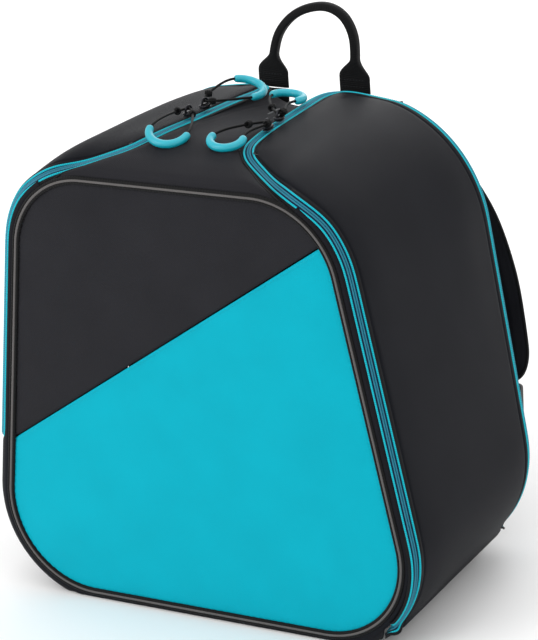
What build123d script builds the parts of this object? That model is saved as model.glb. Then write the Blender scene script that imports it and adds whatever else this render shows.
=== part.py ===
from build123d import *
import math
import os

# Ski boot bag, standing on the ground. Millimetres, +Z up, front face towards -Y.
# Origin: on the ground, under the middle of the base.

# ---- outline sections: half width at the ground, inward slope of the sides, top, corner radii
FRONT_Y = -99.5            # front rim of the wall
FRONT_SECTION = (194.0, 0.160, 351.5, 80.0, 70.0)
SHOULDER_Y = -60.0
SHOULDER_SECTION = (197.5, 0.163, 364.0, 81.0, 98.0)
MIDDLE_Y = 10.0
MIDDLE_SECTION = (201.0, 0.166, 366.5, 82.0, 113.0)
REAR_Y = 81.3              # rear rim where it meets the ground
REAR_LEAN = 4.7            # degrees the back leans away from upright
REAR_SECTION = (199.8, 0.166, 358.4, 84.0, 106.0)
GROUND_CUT = 1.0           # the sections reach this far under the flat base
WALL = 4.0

# ---- front panel
PIPING_Y = -101.0
PIPING_SECTION = (185.8, 0.165, 347.3, 70.0, 66.0)
PIPING_BOTTOM = 5.0
PIPING_R = 2.2
PANEL_BACK_Y = -95.6
SEAM_LEFT = (-168.0, 125.0)   # colour seam across the front panel
SEAM_RIGHT = (126.0, 315.0)
SEAM_GAP = 0.2
GAP = 0.2                  # clearance between neighbouring sewn pieces
BORDER_WIDE = 6.3          # piping line to the outside of the border strip
BORDER_THICK = 5.0
MOUTH_DEPTH = 6.2          # how far the front opening is cut back behind the piping
FAR = 400.0                # reach of cutting solids, well outside the bag

# ---- zippers, seen from above
ZIP_FRONT_Y = -95.0
ZIP_SHOULDER_X = 104.0
ZIP_CORNER = (44.0, -54.0)
ZIP_REAR = (24.8, 110.0)
ZIP_REAR_BAND = 9.5        # chain to rear rim
CHAIN_GAP = 0.3
TEETH = 1.0
TAPE = 3.6
HINGE_X = 150.5            # side panels fold down along their lower edges
HINGE_Z = 13.0
LEFT_HINGE_Z = 127.0
HINGE_GAP = 0.4

# ---- back panel
BACK_THICK = 12.0
BACK_PIPING_R = 2.0
VALLEY_Z = 345.0
VALLEY_HALF = 12.0
VALLEY_R = 15.0
HUMP_X = 44.0
HUMP_R = 12.0
BACK_TOP_R = 92.0
BACK_TOP_Z = 358.6

RIDGE = ((-94.6, 348.4), (-50.0, 361.3), (10.0, 363.2), (70.0, 359.8), (99.8, 345.2))
DIVIDER = 3.0
STRIP_HALF = 130.0         # half width that the top strip is cut from

# ---- sliders and pulls
SLIDER_SIZE = (8.4, 11.0, 3.0)
SLIDER_Z = 368.2
SLIDER_R = 3.0
BAIL_LONG = 9.0
BAIL_H = 6.0
BAIL_WIRE = 1.6
BAIL_WIDE = 2.4
BAIL_R = (2.4, 1.4)        # outer and inner corners
BAIL_SINK = 0.2
HOOK_Z = 2.6               # cord centre above the slider plate
RIGHT_SLIDERS = (-14.0, 8.0)       # Y of the front and rear slider
LEFT_SLIDERS = (0.0, 20.0)
CORD_R = 1.0
SLEEVE_R = 3.0
KNEE = 8.0                 # cord leaves the sleeve this far before it bends
BAIL_SPAN = 4.4            # half the cord's run through the bail
BEND_SHARE = 0.45          # share of a run that the arc at its end takes
# sleeve arcs: left end, middle, right end
PULLS = {
    "right_front": ((15.0, -50.0, 373.5), (28.0, -64.0, 369.0), (38.0, -47.0, 372.0)),
    "right_rear": ((9.0, 46.0, 374.0), (22.0, 60.0, 371.5), (31.5, 42.0, 372.0)),
    "left_front": ((-37.0, -54.0, 376.5), (-21.0, -66.0, 368.5), (-8.0, -50.0, 372.0)),
    "left_rear": ((-33.0, 62.0, 379.0), (-12.0, 66.0, 373.5), (-8.0, 44.0, 371.5)),
}

# ---- carrying handle
HANDLE_HALF = 36.5
HANDLE_Y = 125.0
HANDLE_HINGE_Z = 355.0
HANDLE_TOP = 420.5
HANDLE_BEND_R = 11.0
GRIP = (6.0, 9.0, 2.4)     # folded webbing: thickness, width, corner radius
TAB_LOW = 322.0
TAB_W = 27.0
TAB_T = 3.0
TAB_GAP = 3.0              # sewn tab to hinge line
TAB_WIDE_H = 16.0          # the loop's foot keeps its full width this far up
TAB_NECK = (5.0, 27.0)     # half width and height where it has narrowed

# ---- shoulder straps
STRAP_TOP = (71.0, 328.0)
STRAP_FOOT = (148.0, 56.0)
STRAP_OFF = 9.0            # swing axis to back panel
PAD_W = 52.0
PAD_T = 9.0
PAD_ENDS = ((14.0, 10.0), (120.0, 66.0), (222.0, 47.0))
WEB_W = 25.0
WEB_T = 2.0
LOCK_T = 4.0
LOCK_SIZE = (30.0, 34.0, 4.0)      # along the strap, across it, corner radius
LOCK_SLOTS = (6.5, 15.0, 23.5)
LOCK_SLOT = (5.5, 26.0)
LOCK_GAP = (2.5, 1.0)              # pad to buckle, buckle to webbing
WEB_END = (4.0, 1.2)               # short of the foot, above the swing axis
ANCHOR_W = 28.0
ANCHOR_T = 2.0
ANCHOR_TOP = (-22.0, 4.0)
ANCHOR_FOOT = (-2.0, 16.0)


def upright(y):
    return Plane(origin=(0, y, 0), x_dir=(1, 0, 0), z_dir=(0, -1, 0))


def rear_plane(shift=0.0):
    lean = math.radians(REAR_LEAN)
    normal = Vector(0, math.cos(lean), -math.sin(lean))
    origin = Vector(0, REAR_Y, 0) + normal * shift
    return Plane(origin=origin, x_dir=(1, 0, 0), z_dir=-normal)


def trapezoid(section, bottom=-GROUND_CUT, inset=0.0):
    """Rounded trapezoid face in XY: local X across, local Y up."""
    half, slope, top, r_bottom, r_top = section
    low = half - slope * bottom
    high = half - slope * top
    face = make_face(Polyline((-low, bottom), (low, bottom), (high, top), (-high, top), close=True))
    corners = face.vertices().sort_by(Axis.Y)
    face = fillet(corners[:2], r_bottom)
    face = fillet(face.vertices().filter_by(lambda v: abs(v.Y - top) < 0.01), r_top)
    return offset(face, -inset) if inset else face


def body_loft(inset=0.0, reach=0.0):
    """The filled body, or its hollow when inset by the wall thickness."""
    sections = []
    stations = (
        (upright(FRONT_Y - reach), FRONT_SECTION),
        (upright(SHOULDER_Y), SHOULDER_SECTION),
        (upright(MIDDLE_Y), MIDDLE_SECTION),
        (rear_plane(reach - BACK_PIPING_R - GAP), REAR_SECTION),
    )
    for plane, (half, slope, top, r_bottom, r_top) in stations:
        size = (half - inset, slope, top - inset, r_bottom - inset, r_top - inset)
        sections.append(plane * trapezoid(size, bottom=inset - GROUND_CUT))
    return loft(sections)


def slab(z_low, z_high, x_low=-FAR, x_high=FAR):
    size = (x_high - x_low, 2 * FAR, z_high - z_low)
    return Pos((x_low + x_high) / 2, 0, (z_low + z_high) / 2) * Box(*size)


def behind_rear(shift):
    """Everything behind the plane of the rear rim, moved back by shift."""
    return rear_plane(shift) * Pos(0, 0, -FAR) * Box(4 * FAR, 4 * FAR, 2 * FAR)


def door_zone(side, inset):
    """Everything outside one zipper line, seen from above, in front of the rear chain."""
    run = (ZIP_REAR[0] - ZIP_CORNER[0]) / (ZIP_REAR[1] - ZIP_CORNER[1])
    end_x = ZIP_CORNER[0] + run * (FAR - ZIP_CORNER[1])
    plan = make_face(Polyline(
        (FAR, ZIP_FRONT_Y), (ZIP_SHOULDER_X, ZIP_FRONT_Y), ZIP_CORNER, (end_x, FAR), (FAR, FAR),
        close=True))
    plan = offset(plan, -inset, kind=Kind.INTERSECTION)
    zone = extrude(Pos(0, 0, -FAR / 2) * plan, 2 * FAR) - behind_rear(-ZIP_REAR_BAND - inset)
    return zone if side > 0 else mirror(zone, about=Plane.YZ)


def chain_parts(wall, side, hinge_z):
    """The zipper of one side as its four strips, and the door panel inside them."""
    low, high = sorted((0, side * FAR))
    upper = wall & slab(hinge_z + HINGE_GAP, FAR, low, high)
    half_gap = CHAIN_GAP / 2
    edges = (-half_gap - TEETH - TAPE, -half_gap - TEETH, -half_gap,
             half_gap, half_gap + TEETH, half_gap + TEETH + TAPE)
    zones = [door_zone(side, e) for e in edges]
    return {
        "body_tape": upper & (zones[0] - zones[1]),
        "body_teeth": upper & (zones[1] - zones[2]),
        "door_teeth": upper & (zones[3] - zones[4]),
        "door_tape": upper & (zones[4] - zones[5]),
        "door_panel": upper & zones[5],
    }


def piping_face(grow=0.0):
    return trapezoid(PIPING_SECTION, bottom=PIPING_BOTTOM, inset=-grow)


def tube_on(face, plane, radius):
    path = (plane * face).faces()[0].outer_wire()
    start = Plane(origin=path @ 0, z_dir=path % 0)
    return sweep(start * Circle(radius), path=path)


def rear_outline(grow=0.0):
    """Outline of the back panel, with a hump over each compartment."""
    half, slope, top, r_bottom, _ = REAR_SECTION
    high = half - slope * top
    right = [(half, 0), (high, top), (HUMP_X, top), (VALLEY_HALF, VALLEY_Z)]
    radii = (r_bottom, BACK_TOP_R, HUMP_R, VALLEY_R)
    left = [(-x, z) for x, z in reversed(right)]
    face = make_face(Polyline(*right, *left, close=True))
    for (x, z), radius in zip(right, radii):
        corners = [v for v in face.vertices() if abs(abs(v.X) - x) < 0.5 and abs(v.Y - z) < 0.5]
        face = fillet(corners, radius)
    return offset(face, grow) if grow else face


def front_panels():
    panel = extrude(upright(PIPING_Y) * piping_face(-PIPING_R - GAP), -(PANEL_BACK_Y - PIPING_Y))
    (lx, lz), (rx, rz) = SEAM_LEFT, SEAM_RIGHT
    slope = (rz - lz) / (rx - lx)
    ends = [(x, lz + slope * (x - lx)) for x in (FAR, -FAR)]
    below = make_face(Polyline((-FAR, -FAR), (FAR, -FAR), *ends, close=True))
    below = extrude(upright(PIPING_Y - WALL) * below, -3 * WALL)
    upper = panel - Pos(0, 0, SEAM_GAP) * below
    return upper, panel & below


def ridge_line():
    """The strip's middle line in the YZ plane."""
    return Spline(*RIDGE)


def under_strip():
    """The room under the top strip, as wide as the divider needs."""
    ends = ridge_line()
    floor = Polyline(ends @ 1, (RIDGE[-1][0], 0), (RIDGE[0][0], 0), ends @ 0)
    face = make_face([ends, floor])
    plane = Plane(origin=(-DIVIDER, 0, -WALL / 2 - 5 * GAP), x_dir=(0, 1, 0), z_dir=(1, 0, 0))
    return extrude(plane * face, 2 * DIVIDER)


def top_strip(outer, zones):
    """Panel between the two zippers, from the front panel over the top to the back."""
    edge = trace(ridge_line(), line_width=WALL)
    plane = Plane(origin=(-STRIP_HALF, 0, 0), x_dir=(0, 1, 0), z_dir=(1, 0, 0))
    strip = extrude(plane * edge, 2 * STRIP_HALF) & outer
    for zone in zones:
        strip = strip - zone
    return strip


def slider_piece(side, y):
    """Slider body with its bail, sitting on the straight top run."""
    x = side * (ZIP_CORNER[0] + (ZIP_REAR[0] - ZIP_CORNER[0])
                * (y - ZIP_CORNER[1]) / (ZIP_REAR[1] - ZIP_CORNER[1]))
    turn = side * math.degrees(math.atan2(ZIP_CORNER[0] - ZIP_REAR[0], ZIP_REAR[1] - ZIP_CORNER[1]))
    wide, long, high = SLIDER_SIZE
    plate = Box(wide, long, high, align=(Align.CENTER, Align.CENTER, Align.MIN))
    plate = fillet(plate.edges().filter_by(Axis.Z), SLIDER_R)
    outside = RectangleRounded(BAIL_LONG, 2 * BAIL_H, BAIL_R[0])
    inside = RectangleRounded(BAIL_LONG - 2 * BAIL_WIRE, 2 * (BAIL_H - BAIL_WIRE), BAIL_R[1])
    bail = extrude(Plane.YZ * (outside - inside), BAIL_WIDE / 2, both=True) & slab(0, FAR)
    piece = plate + Pos(0, 0, high - BAIL_SINK) * bail
    return Pos(x, y, SLIDER_Z) * Rot(0, 0, turn) * piece, (x, y, SLIDER_Z + high + HOOK_Z)


def bend_radii(points):
    """The largest arc at each corner that its two runs leave room for."""
    radii = []
    for before, corner, after in zip(points, points[1:], points[2:]):
        turn = math.radians((corner - before).get_angle(after - corner))
        shorter = min((corner - before).length, (after - corner).length)
        radii.append(BEND_SHARE * shorter / math.tan(turn / 2))
    return radii


def pull_parts(hook, left_end, bow, right_end):
    """One cord pull: a curved moulded sleeve, and the cord that loops through the slider's bail."""
    sleeve_line = ThreePointArc(left_end, bow, right_end)
    start = Plane(origin=sleeve_line @ 0, z_dir=sleeve_line % 0)
    sleeve = sweep(start * Circle(SLEEVE_R), path=sleeve_line)
    tips = []
    for t, sign in ((0, -1), (1, 1)):
        end = Vector(*(sleeve_line @ t))
        out = Vector(*(sleeve_line % t)) * sign
        tips.append((end, end + out * KNEE))
    (end_a, knee_a), (end_b, knee_b) = tips
    across = Vector(BAIL_SPAN, 0, 0)
    middle = Vector(*hook)
    points = [end_a, knee_a, middle - across, middle + across, knee_b, end_b]
    radii = bend_radii(points)
    print("cord arc radii, mm:", [round(r, 1) for r in radii])
    route = FilletPolyline(*points, radius=radii)
    start = Plane(origin=route @ 0, z_dir=route % 0)
    cord = sweep(start * Circle(CORD_R), path=route)
    return cord, sleeve


def handle_parts():
    """Two sewn tabs on the back panel, and the webbing loop that swings on them."""
    tabs = []
    on_back = rear_plane(BACK_THICK + GAP + TAB_T / 2)
    tab_top = HANDLE_HINGE_Z - TAB_GAP
    for side in (-1, 1):
        tab = Box(TAB_W, tab_top - TAB_LOW, TAB_T)
        tabs.append(on_back * Pos(side * HANDLE_HALF, (tab_top + TAB_LOW) / 2, 0) * tab)
    base = HANDLE_HINGE_Z + 1.0
    left, right = -HANDLE_HALF, HANDLE_HALF
    line = upright(HANDLE_Y) * FilletPolyline(
        (left, base + 22), (left + 9, base + 44), (left + 38, HANDLE_TOP - 1),
        (right - 12, HANDLE_TOP + 1), (right + 2, base + 40), (right, base + 22),
        radius=HANDLE_BEND_R)
    start = Plane(origin=line @ 0, z_dir=line % 0, x_dir=(0, 1, 0))
    grip = sweep(start * RectangleRounded(*GRIP), path=line)
    half = TAB_W / 2
    for x in (left, right):
        neck, high = TAB_NECK
        tab = make_face(Polyline(
            (x - half, base), (x + half, base), (x + half, base + TAB_WIDE_H),
            (x + neck, base + high), (x - neck, base + high), (x - half, base + TAB_WIDE_H),
            close=True))
        grip = grip + extrude(upright(HANDLE_Y) * tab, TAB_T / 2, both=True)
    return tabs, grip


def strap_frame(side):
    """Plane whose local X runs down the strap's swing axis and local Y points out of the back."""
    lean = math.radians(REAR_LEAN)
    normal = Vector(0, math.cos(lean), -math.sin(lean))
    up = Vector(0, math.sin(lean), math.cos(lean))
    base = Vector(0, REAR_Y, 0) + normal * (BACK_THICK + STRAP_OFF)
    top = base + Vector(side * STRAP_TOP[0], 0, 0) + up * STRAP_TOP[1]
    foot = base + Vector(side * STRAP_FOOT[0], 0, 0) + up * STRAP_FOOT[1]
    along = (foot - top).normalized()
    return Plane(origin=top, x_dir=along, z_dir=along.cross(normal)), (foot - top).length


def ribbon(line, plane, width, thick):
    return extrude(plane * trace(line, line_width=thick), width / 2, both=True)


def strap_parts(side):
    """Padded strap, ladder-lock buckle and lower webbing of one shoulder strap."""
    plane, length = strap_frame(side)
    pad_line = ThreePointArc(*PAD_ENDS)
    pad = ribbon(pad_line, plane, PAD_W, PAD_T)
    out = pad_line % 1
    end = Vector(*PAD_ENDS[2])
    lock_at = end + Vector(*out) * LOCK_GAP[0]
    frame = Pos(LOCK_SIZE[0] / 2, 0) * RectangleRounded(*LOCK_SIZE)
    holes = [Pos(x, 0) * Rectangle(*LOCK_SLOT) for x in LOCK_SLOTS]
    flat = Plane(origin=lock_at, x_dir=out, z_dir=Vector(*out).cross(Vector(0, 0, 1)))
    lock = plane * extrude(flat * (frame - holes), LOCK_T / 2, both=True)
    web_start = lock_at + Vector(*out) * (LOCK_SIZE[0] + LOCK_GAP[1])
    web_end = (length - WEB_END[0], WEB_END[1])
    web = ribbon(Polyline((web_start.X, web_start.Y), web_end), plane, WEB_W, WEB_T)
    return pad, lock, web


def strap_anchors(side):
    """Sewn tabs that hold the strap to the back panel at its top and its foot."""
    plane, length = strap_frame(side)
    height = -STRAP_OFF + ANCHOR_T / 2 + 2 * GAP
    top = [(x, height) for x in ANCHOR_TOP]
    foot = [(length + x, height) for x in ANCHOR_FOOT]
    top = ribbon(Polyline(*top), plane, ANCHOR_W, ANCHOR_T)
    foot = ribbon(Polyline(*foot), plane, WEB_W, ANCHOR_T)
    return top, foot


def compartment_parts(outer, wall):
    """Doors, zippers, top strip, base, gusset, lower side panel and divider."""
    parts = {}
    for side, name, hinge_z in ((1, "right", HINGE_Z), (-1, "left", LEFT_HINGE_Z)):
        chain = chain_parts(wall, side, hinge_z)
        parts[f"{name}_door_panel"] = chain["door_panel"]
        parts[f"{name}_door_zip_tape"] = chain["door_tape"]
        parts[f"{name}_door_zip_teeth"] = chain["door_teeth"]
        parts[f"{name}_body_zip_tape"] = chain["body_tape"]
        parts[f"{name}_body_zip_teeth"] = chain["body_teeth"]
    chain_edge = -CHAIN_GAP / 2 - TEETH - TAPE
    strip = top_strip(outer, [door_zone(side, chain_edge) for side in (1, -1)])
    parts["top_strip"] = strip
    rear_cut = behind_rear(-ZIP_REAR_BAND - chain_edge)
    over = [(VALLEY_HALF, VALLEY_Z), (HUMP_X, BACK_TOP_Z), (HUMP_X, FAR)]
    notch = make_face(Polyline(*over, *[(-x, z) for x, z in reversed(over)], close=True))
    notch = extrude(upright(REAR_Y / 2) * notch, -FAR / 2)
    parts["rear_gusset"] = (wall & rear_cut & slab(HINGE_Z + HINGE_GAP, FAR)) - notch - strip
    parts["base_panel"] = wall & slab(0, HINGE_Z, -HINGE_X, HINGE_X)
    parts["left_lower_side_panel"] = (
        wall & slab(HINGE_Z + HINGE_GAP, LEFT_HINGE_Z, -FAR, 0)) - rear_cut
    room = body_loft(inset=WALL + GAP) - behind_rear(-BACK_PIPING_R - 1)
    sheet = Pos(0, FAR / 2 + PANEL_BACK_Y + GAP, FAR / 2) * Box(DIVIDER, FAR, FAR)
    parts["centre_divider"] = (sheet & room & under_strip()) - rear_cut
    return parts


def face_parts(outer, wall, strip, front_clear):
    """Front panel, its piping and border, and the back panel with its piping."""
    parts = {}
    ring = extrude(upright(PIPING_Y + 1) * piping_face(BORDER_WIDE), -BORDER_THICK)
    parts["front_border"] = ((ring - front_clear) & outer & slab(0, FAR)) - wall - strip
    parts["front_piping"] = tube_on(piping_face(), upright(PIPING_Y), PIPING_R)
    parts["front_panel_upper"], parts["front_panel_lower"] = front_panels()
    back = extrude(rear_plane(-BACK_PIPING_R) * rear_outline(-BACK_PIPING_R - GAP),
                   -(BACK_THICK + BACK_PIPING_R))
    parts["back_panel"] = back & slab(0, FAR)
    parts["back_piping"] = tube_on(rear_outline(), rear_plane(), BACK_PIPING_R) & slab(0, FAR)
    return parts


def slider_parts():
    """Four sliders, each with its cord and sleeve."""
    parts = {}
    for name, side, places in (("right", 1, RIGHT_SLIDERS), ("left", -1, LEFT_SLIDERS)):
        for where, y in zip(("front", "rear"), places):
            piece, hook = slider_piece(side, y)
            cord, sleeve = pull_parts(hook, *PULLS[f"{name}_{where}"])
            parts[f"{name}_{where}_slider"] = piece
            parts[f"{name}_{where}_pull_cord"] = cord
            parts[f"{name}_{where}_pull_sleeve"] = sleeve
    return parts


def carrying_parts():
    """Handle on its tabs, and both shoulder straps."""
    tabs, grip = handle_parts()
    parts = {"handle_tab_left": tabs[0], "handle_tab_right": tabs[1], "carry_handle": grip}
    for name, side in (("right", 1), ("left", -1)):
        pad, lock, web = strap_parts(side)
        top, foot = strap_anchors(side)
        parts[f"{name}_shoulder_pad"] = pad
        parts[f"{name}_ladder_lock"] = lock
        parts[f"{name}_strap_webbing"] = web
        parts[f"{name}_strap_top_tab"] = top
        parts[f"{name}_strap_foot_tab"] = foot
    return parts


def main():
    os.makedirs("parts", exist_ok=True)
    outer = body_loft()
    hollow = body_loft(inset=WALL, reach=WALL - 1)
    front_clear = extrude(upright(PIPING_Y - MOUTH_DEPTH) * piping_face(PIPING_R + GAP),
                          -2 * MOUTH_DEPTH)
    wall = (outer - hollow - front_clear) & slab(0, FAR)
    parts = compartment_parts(outer, wall)
    parts.update(face_parts(outer, wall, parts["top_strip"], front_clear))
    parts.update(slider_parts())
    parts.update(carrying_parts())
    for name, shape in parts.items():
        export_step(shape, f"parts/{name}.step")


main()
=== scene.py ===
import math
import bmesh
import bpy
import numpy as np
from mathutils import Matrix, Vector
from mathutils.bvhtree import BVHTree


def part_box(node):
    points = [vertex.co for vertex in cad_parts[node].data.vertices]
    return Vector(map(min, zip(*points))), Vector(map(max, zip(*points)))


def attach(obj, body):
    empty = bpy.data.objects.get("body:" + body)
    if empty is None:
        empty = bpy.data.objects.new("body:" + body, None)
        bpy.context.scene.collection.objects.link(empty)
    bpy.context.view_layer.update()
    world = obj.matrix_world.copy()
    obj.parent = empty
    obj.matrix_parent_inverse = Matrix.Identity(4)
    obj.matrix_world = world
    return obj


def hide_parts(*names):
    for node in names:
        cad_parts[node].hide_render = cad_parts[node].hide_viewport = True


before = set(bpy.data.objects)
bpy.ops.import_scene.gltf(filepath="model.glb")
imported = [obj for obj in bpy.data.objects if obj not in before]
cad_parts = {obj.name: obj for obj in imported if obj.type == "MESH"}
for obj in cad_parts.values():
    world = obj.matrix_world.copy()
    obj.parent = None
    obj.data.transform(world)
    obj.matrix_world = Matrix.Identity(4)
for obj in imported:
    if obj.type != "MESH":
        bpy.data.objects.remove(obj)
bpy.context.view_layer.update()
MM = 0.001

def add_object(name, data):
    ob = bpy.data.objects.new(name, data)
    bpy.context.scene.collection.objects.link(ob)
    return ob


# ---------------------------------------------------------------- camera
CAM_AT = (1.1456, -1.8136, 1.0296)      # metres
CAM_AZIMUTH, CAM_ELEVATION, CAM_ROLL = 31.917, 21.018, -5.391      # degrees
CAM_LENS, CAM_SENSOR = 168.37, 36


def make_camera():
    data = bpy.data.cameras.new("camera")
    data.lens, data.sensor_width = CAM_LENS, CAM_SENSOR
    cam = add_object("camera", data)
    turn = (Matrix.Rotation(math.radians(CAM_AZIMUTH), 4, "Z")
            @ Matrix.Rotation(math.radians(90 - CAM_ELEVATION), 4, "X")
            @ Matrix.Rotation(math.radians(CAM_ROLL), 4, "Z"))
    cam.matrix_world = Matrix.Translation(CAM_AT) @ turn
    data.clip_start, data.clip_end = 0.1, 30
    bpy.context.scene.camera = cam


# ---------------------------------------------------------------- materials
def srgb(r, g, b):
    def lin(v):
        v /= 255
        return v / 12.92 if v < 0.04045 else ((v + 0.055) / 1.055) ** 2.4
    return (lin(r), lin(g), lin(b), 1)


class Nodes:
    """Short calls for a material's node tree."""

    def __init__(self, name):
        self.mat = bpy.data.materials.new(name)
        self.mat.use_nodes = True
        self.tree = self.mat.node_tree
        self.shader = self.tree.nodes["Principled BSDF"]

    def add(self, kind, **values):
        node = self.tree.nodes.new(kind)
        for key, value in values.items():
            if hasattr(node, key):
                setattr(node, key, value)
            else:
                node.inputs[key.replace("_", " ")].default_value = value
        return node

    def link(self, a, b):
        self.tree.links.new(a, b)

    def math(self, op, a, b=None, clamp=False):
        node = self.add("ShaderNodeMath", operation=op, use_clamp=clamp)
        for slot, value in zip(node.inputs, (a, b)):
            if value is None:
                continue
            if isinstance(value, (int, float)):
                slot.default_value = value
            else:
                self.link(value, slot)
        return node.outputs[0]

    def ramp(self, value, stops):
        node = self.add("ShaderNodeValToRGB")
        els = node.color_ramp.elements
        while len(els) < len(stops):
            els.new(0.5)
        for el, (at, colour) in zip(els, stops):
            el.position = at
            el.color = colour
        self.link(value, node.inputs[0])
        return node.outputs[0]

    def mix(self, fac, a, b, blend="MIX"):
        node = self.add("ShaderNodeMix", data_type="RGBA", blend_type=blend)
        for slot, value in ((node.inputs[0], fac), (node.inputs[6], a), (node.inputs[7], b)):
            if isinstance(value, (int, float, tuple)):
                slot.default_value = value
            else:
                self.link(value, slot)
        return node.outputs[2]

    def bump(self, height, strength, distance):
        node = self.add("ShaderNodeBump")
        node.inputs["Strength"].default_value = strength
        node.inputs["Distance"].default_value = distance
        self.link(height, node.inputs["Height"])
        self.link(node.outputs[0], self.shader.inputs["Normal"])


def tint(colour, k):
    return (min(1, colour[0] * k), min(1, colour[1] * k), min(1, colour[2] * k), 1)


def woven(name, colour, pitch=0.75, rough=0.62, sheen=0.25, depth=0.12, contrast=0.28, fade=0.16,
          second=None):
    """Plain-weave cloth. The UV map is in millimetres."""
    m = Nodes(name)
    uv = m.add("ShaderNodeUVMap", uv_map="mm").outputs[0]
    split = m.add("ShaderNodeSeparateXYZ")
    m.link(uv, split.inputs[0])
    turn = 2 * math.pi / (2 * pitch)
    across = m.math("SINE", m.math("MULTIPLY", split.outputs[0], turn))
    along = m.math("SINE", m.math("MULTIPLY", split.outputs[1], turn))
    cross = m.math("MULTIPLY", across, along)
    yarns = m.math("ADD", m.math("MULTIPLY", m.math("ABSOLUTE", across), m.math("ABSOLUTE", along)),
                   m.math("MULTIPLY", cross, 0.45))
    grain = m.add("ShaderNodeTexNoise", noise_dimensions="3D")
    grain.inputs["Scale"].default_value = 1.3
    grain.inputs["Detail"].default_value = 4
    m.link(uv, grain.inputs["Vector"])
    clouds = m.add("ShaderNodeTexNoise", noise_dimensions="3D")
    clouds.inputs["Scale"].default_value = 0.022
    clouds.inputs["Detail"].default_value = 3
    m.link(uv, clouds.inputs["Vector"])
    base = m.mix(m.math("MULTIPLY", yarns, 0.8, clamp=True), tint(colour, 1 - contrast),
                 tint(colour, 1 + contrast * 0.6))
    if second:
        base = m.mix(m.math("MULTIPLY", cross, 0.5, clamp=True), base, second)
    worn = m.ramp(clouds.outputs[0], ((0.3, (1 - fade, 1 - fade, 1 - fade, 1)), (0.72, (1, 1, 1, 1))))
    base = m.mix(1.0, base, worn, "MULTIPLY")
    fibres = m.ramp(grain.outputs[0], ((0.35, (0.7, 0.7, 0.7, 1)), (0.68, (1, 1, 1, 1))))
    base = m.mix(1.0, base, fibres, "MULTIPLY")
    m.link(base, m.shader.inputs["Base Color"])
    rough_out = m.math("ADD", m.math("MULTIPLY", grain.outputs[0], 0.22), rough - 0.11, clamp=True)
    m.link(rough_out, m.shader.inputs["Roughness"])
    height = m.math("ADD", yarns, m.math("MULTIPLY", grain.outputs[0], 0.7))
    m.bump(height, 0.55, depth * MM)
    m.shader.inputs["Sheen Weight"].default_value = sheen
    m.shader.inputs["Sheen Roughness"].default_value = 0.45
    m.shader.inputs["Specular IOR Level"].default_value = 0.05
    return m.mat


def ribbed(name, colour, pitch=1.1, rough=0.6, depth=0.25, sheen=0.03, both=0.35):
    """Webbing and zipper tape: ribs across the strip (UV x runs along it, in millimetres)."""
    m = Nodes(name)
    uv = m.add("ShaderNodeUVMap", uv_map="mm").outputs[0]
    split = m.add("ShaderNodeSeparateXYZ")
    m.link(uv, split.inputs[0])
    turn = 2 * math.pi / pitch
    ribs = m.math("ABSOLUTE", m.math("SINE", m.math("MULTIPLY", split.outputs[0], turn / 2)))
    lanes = m.math("ABSOLUTE", m.math("SINE", m.math("MULTIPLY", split.outputs[1], turn / 2 * 0.8)))
    height = m.math("ADD", ribs, m.math("MULTIPLY", lanes, both))
    grain = m.add("ShaderNodeTexNoise", noise_dimensions="3D")
    grain.inputs["Scale"].default_value = 1.6
    grain.inputs["Detail"].default_value = 3
    m.link(uv, grain.inputs["Vector"])
    base = m.mix(m.math("MULTIPLY", height, 0.7, clamp=True), tint(colour, 0.6), tint(colour, 1.15))
    speck = m.ramp(grain.outputs[0], ((0.3, (0.8, 0.8, 0.8, 1)), (0.7, (1, 1, 1, 1))))
    m.link(m.mix(1.0, base, speck, "MULTIPLY"), m.shader.inputs["Base Color"])
    rough_out = m.math("ADD", m.math("MULTIPLY", grain.outputs[0], 0.2), rough - 0.1, clamp=True)
    m.link(rough_out, m.shader.inputs["Roughness"])
    m.bump(height, 0.6, depth * MM)
    m.shader.inputs["Sheen Weight"].default_value = sheen
    m.shader.inputs["Specular IOR Level"].default_value = 0.15
    return m.mat


def smooth_stuff(name, colour, rough=0.35, metal=0.0, grain_scale=900.0, depth=0.05, coat=0.0, fade=0.12):
    """Moulded plastic, rubber or plated metal."""
    m = Nodes(name)
    place = m.add("ShaderNodeTexCoord").outputs["Object"]
    grain = m.add("ShaderNodeTexNoise", noise_dimensions="3D")
    grain.inputs["Scale"].default_value = grain_scale
    grain.inputs["Detail"].default_value = 4
    m.link(place, grain.inputs["Vector"])
    smudge = m.add("ShaderNodeTexNoise", noise_dimensions="3D")
    smudge.inputs["Scale"].default_value = 70
    smudge.inputs["Detail"].default_value = 3
    m.link(place, smudge.inputs["Vector"])
    shade = m.ramp(smudge.outputs[0], ((0.3, (1 - fade, 1 - fade, 1 - fade, 1)), (0.7, (1, 1, 1, 1))))
    m.link(m.mix(1.0, colour, shade, "MULTIPLY"), m.shader.inputs["Base Color"])
    rough_out = m.math("ADD", m.math("MULTIPLY", smudge.outputs[0], 0.24), rough - 0.12, clamp=True)
    m.link(rough_out, m.shader.inputs["Roughness"])
    m.bump(grain.outputs[0], 0.4, depth * MM)
    m.shader.inputs["Metallic"].default_value = metal
    m.shader.inputs["Coat Weight"].default_value = coat
    m.shader.inputs["Coat Roughness"].default_value = 0.25
    return m.mat


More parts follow.
